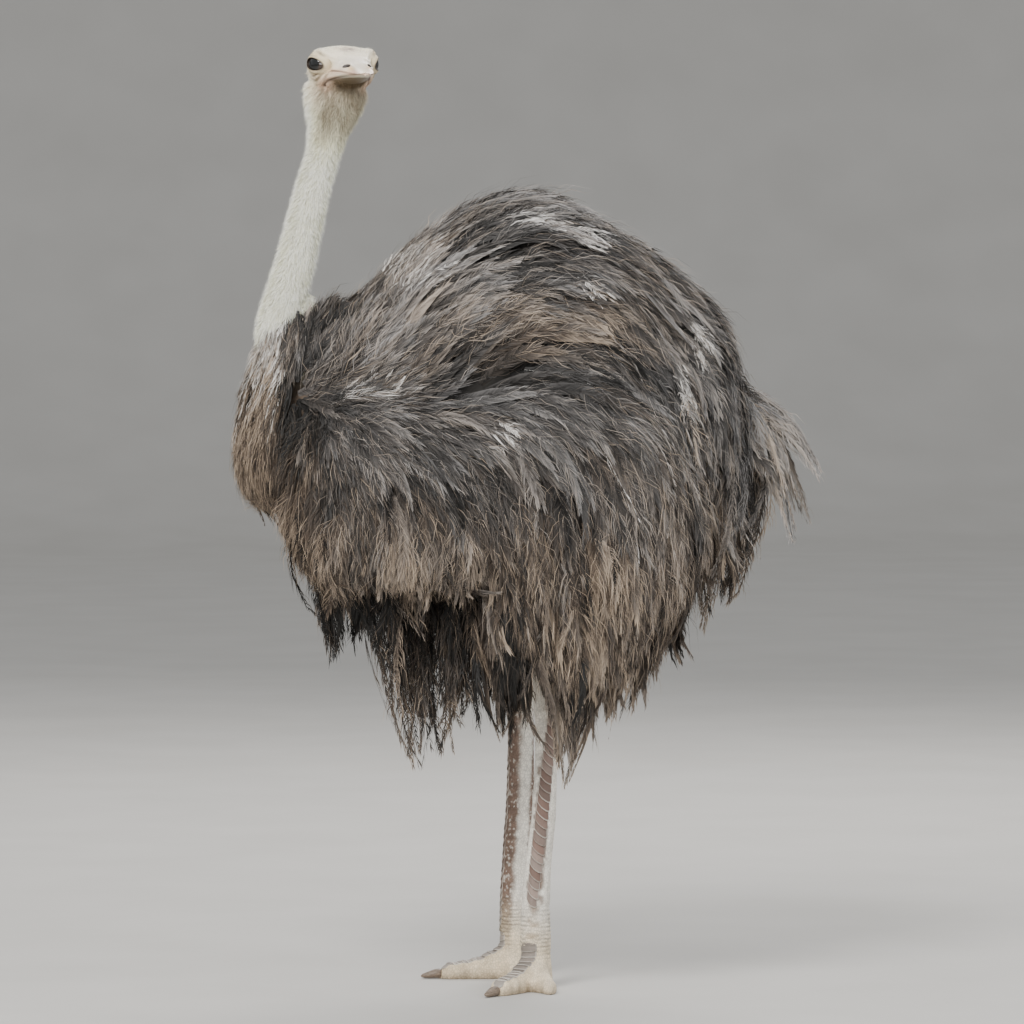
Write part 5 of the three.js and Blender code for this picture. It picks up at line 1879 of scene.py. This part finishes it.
def make_floor():
    """A pale floor that curves up into a wall far behind the bird."""
    shape = bmesh.new()
    profile = [(-FLOOR_REACH, 0.0)]
    for k in range(CURVE_STEPS + 1):
        angle = math.radians(90 * k / CURVE_STEPS)
        out, up = WALL_CURVE * math.sin(angle), WALL_CURVE * math.cos(angle)
        profile.append((WALL_AT - WALL_CURVE + out, WALL_CURVE - up))
    profile.append((WALL_AT, WALL_HEIGHT))
    row = [shape.verts.new((-FLOOR_REACH, y, z)) for y, z in profile]
    edges = [shape.edges.new(ends) for ends in zip(row[:-1], row[1:])]
    drawn = bmesh.ops.extrude_edge_only(shape, edges=edges)["geom"]
    far_row = [part for part in drawn if isinstance(part, bmesh.types.BMVert)]
    bmesh.ops.translate(shape, verts=far_row, vec=(2 * FLOOR_REACH, 0, 0))
    bmesh.ops.recalc_face_normals(shape, faces=shape.faces)
    mesh = mesh_from(shape, "floor")
    paint = Paint("floor", Roughness=0.9)
    mesh.materials.append(paint.finish(paint.ramp(paint.noise(paint.place(), 3.0, 2.0), FLOOR_GREYS)))
    mesh.shade_smooth()
    add_object("floor", mesh)


def make_lights():
    """Four soft lights and a pale sky."""
    for name, place, aim, size, power, colour in LIGHTS:
        data = bpy.data.lights.new(name, "AREA")
        data.shape, data.size, data.energy, data.color = "DISK", size, power, colour
        turn_to(add_object(name, data), place, aim)
    world = bpy.data.worlds.new("studio")
    world.use_nodes = True
    background = next(n for n in world.node_tree.nodes if n.type == "BACKGROUND")
    background.inputs["Color"].default_value = SKY
    background.inputs["Strength"].default_value = SKY_STRENGTH
    bpy.context.scene.world = world


def make_camera():
    """A long lens at eye height, a little ahead of the bird's left side."""
    data = bpy.data.cameras.new("camera")
    data.sensor_width, data.lens, data.clip_end = SENSOR, LENS, 100
    camera = add_object("camera", data)
    place = CAMERA_AIM + Vector((math.sin(CAMERA_TURN), -math.cos(CAMERA_TURN), 0)) * CAMERA_DISTANCE
    place.z = CAMERA_HEIGHT
    turn_to(camera, place, CAMERA_AIM)
    bpy.context.scene.camera = camera


# ---- Operators ----


class OSTRICH_OT_stage(bpy.types.Operator):
    """Makes the floor, the lights and the camera"""

    bl_idname = "ostrich.stage"
    bl_label = "Make the stage"

    def execute(self, context):
        make_floor()
        make_lights()
        make_camera()
        return {"FINISHED"}


class OSTRICH_OT_skin(bpy.types.Operator):
    """Makes the one skin of the bird and the bill cut from it"""

    bl_idname = "ostrich.skin"
    bl_label = "Make the skin and bill"

    def execute(self, context):
        settings, shadow = context.scene.ostrich_skin, context.scene.ostrich_plumage.shadow
        head = head_skin(settings.neck_depth)
        bill = add_object("bill", cut_at_bill(head, "bill", keep_bill=True))
        swap_mesh(head, cut_at_bill(head, "face", keep_bill=False))
        modified(head, "DECIMATE", ratio=0.55)
        skin = body_skin(settings.body_depth)
        unite(skin, head, leg_skin("left"), leg_skin("right"))
        skin.name = skin.data.name = "skin"
        for mesh in (skin.data, bill.data):
            colours = skin_colour(points_of(mesh), settings, shadow)
            set_values(mesh, "pigment", "FLOAT_COLOR", colours)
        flesh = FLESH + ["head", "neck_upper"]
        flesh += [part.format(side) for side in SIDES for part in LEG_PARTS]
        finished(skin, skin_paint(), "face", *flesh)
        finished(bill, bill_paint(), "bill", "bill_upper", "bill_lower")
        return {"FINISHED"}


class OSTRICH_OT_eyes(bpy.types.Operator):
    """Makes the eyeballs"""

    bl_idname = "ostrich.eyes"
    bl_label = "Make the eyes"

    def execute(self, context):
        material = eye_paint()
        for side in SIDES:
            make_eye(side, material)
        return {"FINISHED"}


class OSTRICH_OT_feet(bpy.types.Operator):
    """Makes the claws and the scutes of the legs and toes"""

    bl_idname = "ostrich.feet"
    bl_label = "Make the claws and scutes"

    def execute(self, context):
        settings = context.scene.ostrich_skin
        tree = tree_of(bpy.data.objects["skin"])
        claws, scutes = claw_paint(settings), scute_paint()
        for side in SIDES:
            make_claw(side, claws)
            make_scutes(side, tree, scutes, settings)
        return {"FINISHED"}


class OSTRICH_OT_bristles(bpy.types.Operator):
    """Makes the bristles of the head and neck"""

    bl_idname = "ostrich.bristles"
    bl_label = "Make the bristles"

    def execute(self, context):
        count = int(BRISTLES * context.scene.ostrich_plumage.fullness)
        make_bristles(bpy.data.objects["skin"], bristle_paint(), context.scene.ostrich_skin, count)
        return {"FINISHED"}


class OSTRICH_OT_plumage(bpy.types.Operator):
    """Makes the feathers of the body, wings, tail and breast"""

    bl_idname = "ostrich.plumage"
    bl_label = "Make the plumage"

    def execute(self, context):
        settings = context.scene.ostrich_plumage
        form = plumage_form()
        material = feather_paint("feathers", settings)
        for seed, piece in enumerate(plumage_pieces(), start=101):
            make_plumage(form, piece, material, settings, seed)
        return {"FINISHED"}


class OSTRICH_PT_panel(bpy.types.Panel):
    """The pieces of the ostrich and their settings"""

    bl_idname = "OSTRICH_PT_panel"
    bl_label = "Ostrich"
    bl_space_type = "VIEW_3D"
    bl_region_type = "UI"
    bl_category = "Ostrich"

    def draw(self, context):
        for operator in STEPS:
            self.layout.operator(operator.bl_idname)
        for group in (context.scene.ostrich_plumage, context.scene.ostrich_skin):
            box = self.layout.box()
            for name in group.__annotations__:
                box.prop(group, name)


STEPS = [OSTRICH_OT_stage, OSTRICH_OT_skin, OSTRICH_OT_eyes]
STEPS += [OSTRICH_OT_feet, OSTRICH_OT_bristles, OSTRICH_OT_plumage]
CLASSES = [PlumageSettings, SkinSettings, *STEPS, OSTRICH_PT_panel]


def register():
    for made in CLASSES:
        bpy.utils.register_class(made)
    bpy.types.Scene.ostrich_plumage = bpy.props.PointerProperty(type=PlumageSettings)
    bpy.types.Scene.ostrich_skin = bpy.props.PointerProperty(type=SkinSettings)


def unregister():
    del bpy.types.Scene.ostrich_skin
    del bpy.types.Scene.ostrich_plumage
    for made in reversed(CLASSES):
        bpy.utils.unregister_class(made)


def main():
    register()
    bpy.ops.ostrich.stage()
    bpy.ops.ostrich.skin()
    bpy.ops.ostrich.eyes()
    bpy.ops.ostrich.feet()
    bpy.ops.ostrich.bristles()
    bpy.ops.ostrich.plumage()


if __name__ == "__main__":
    main()
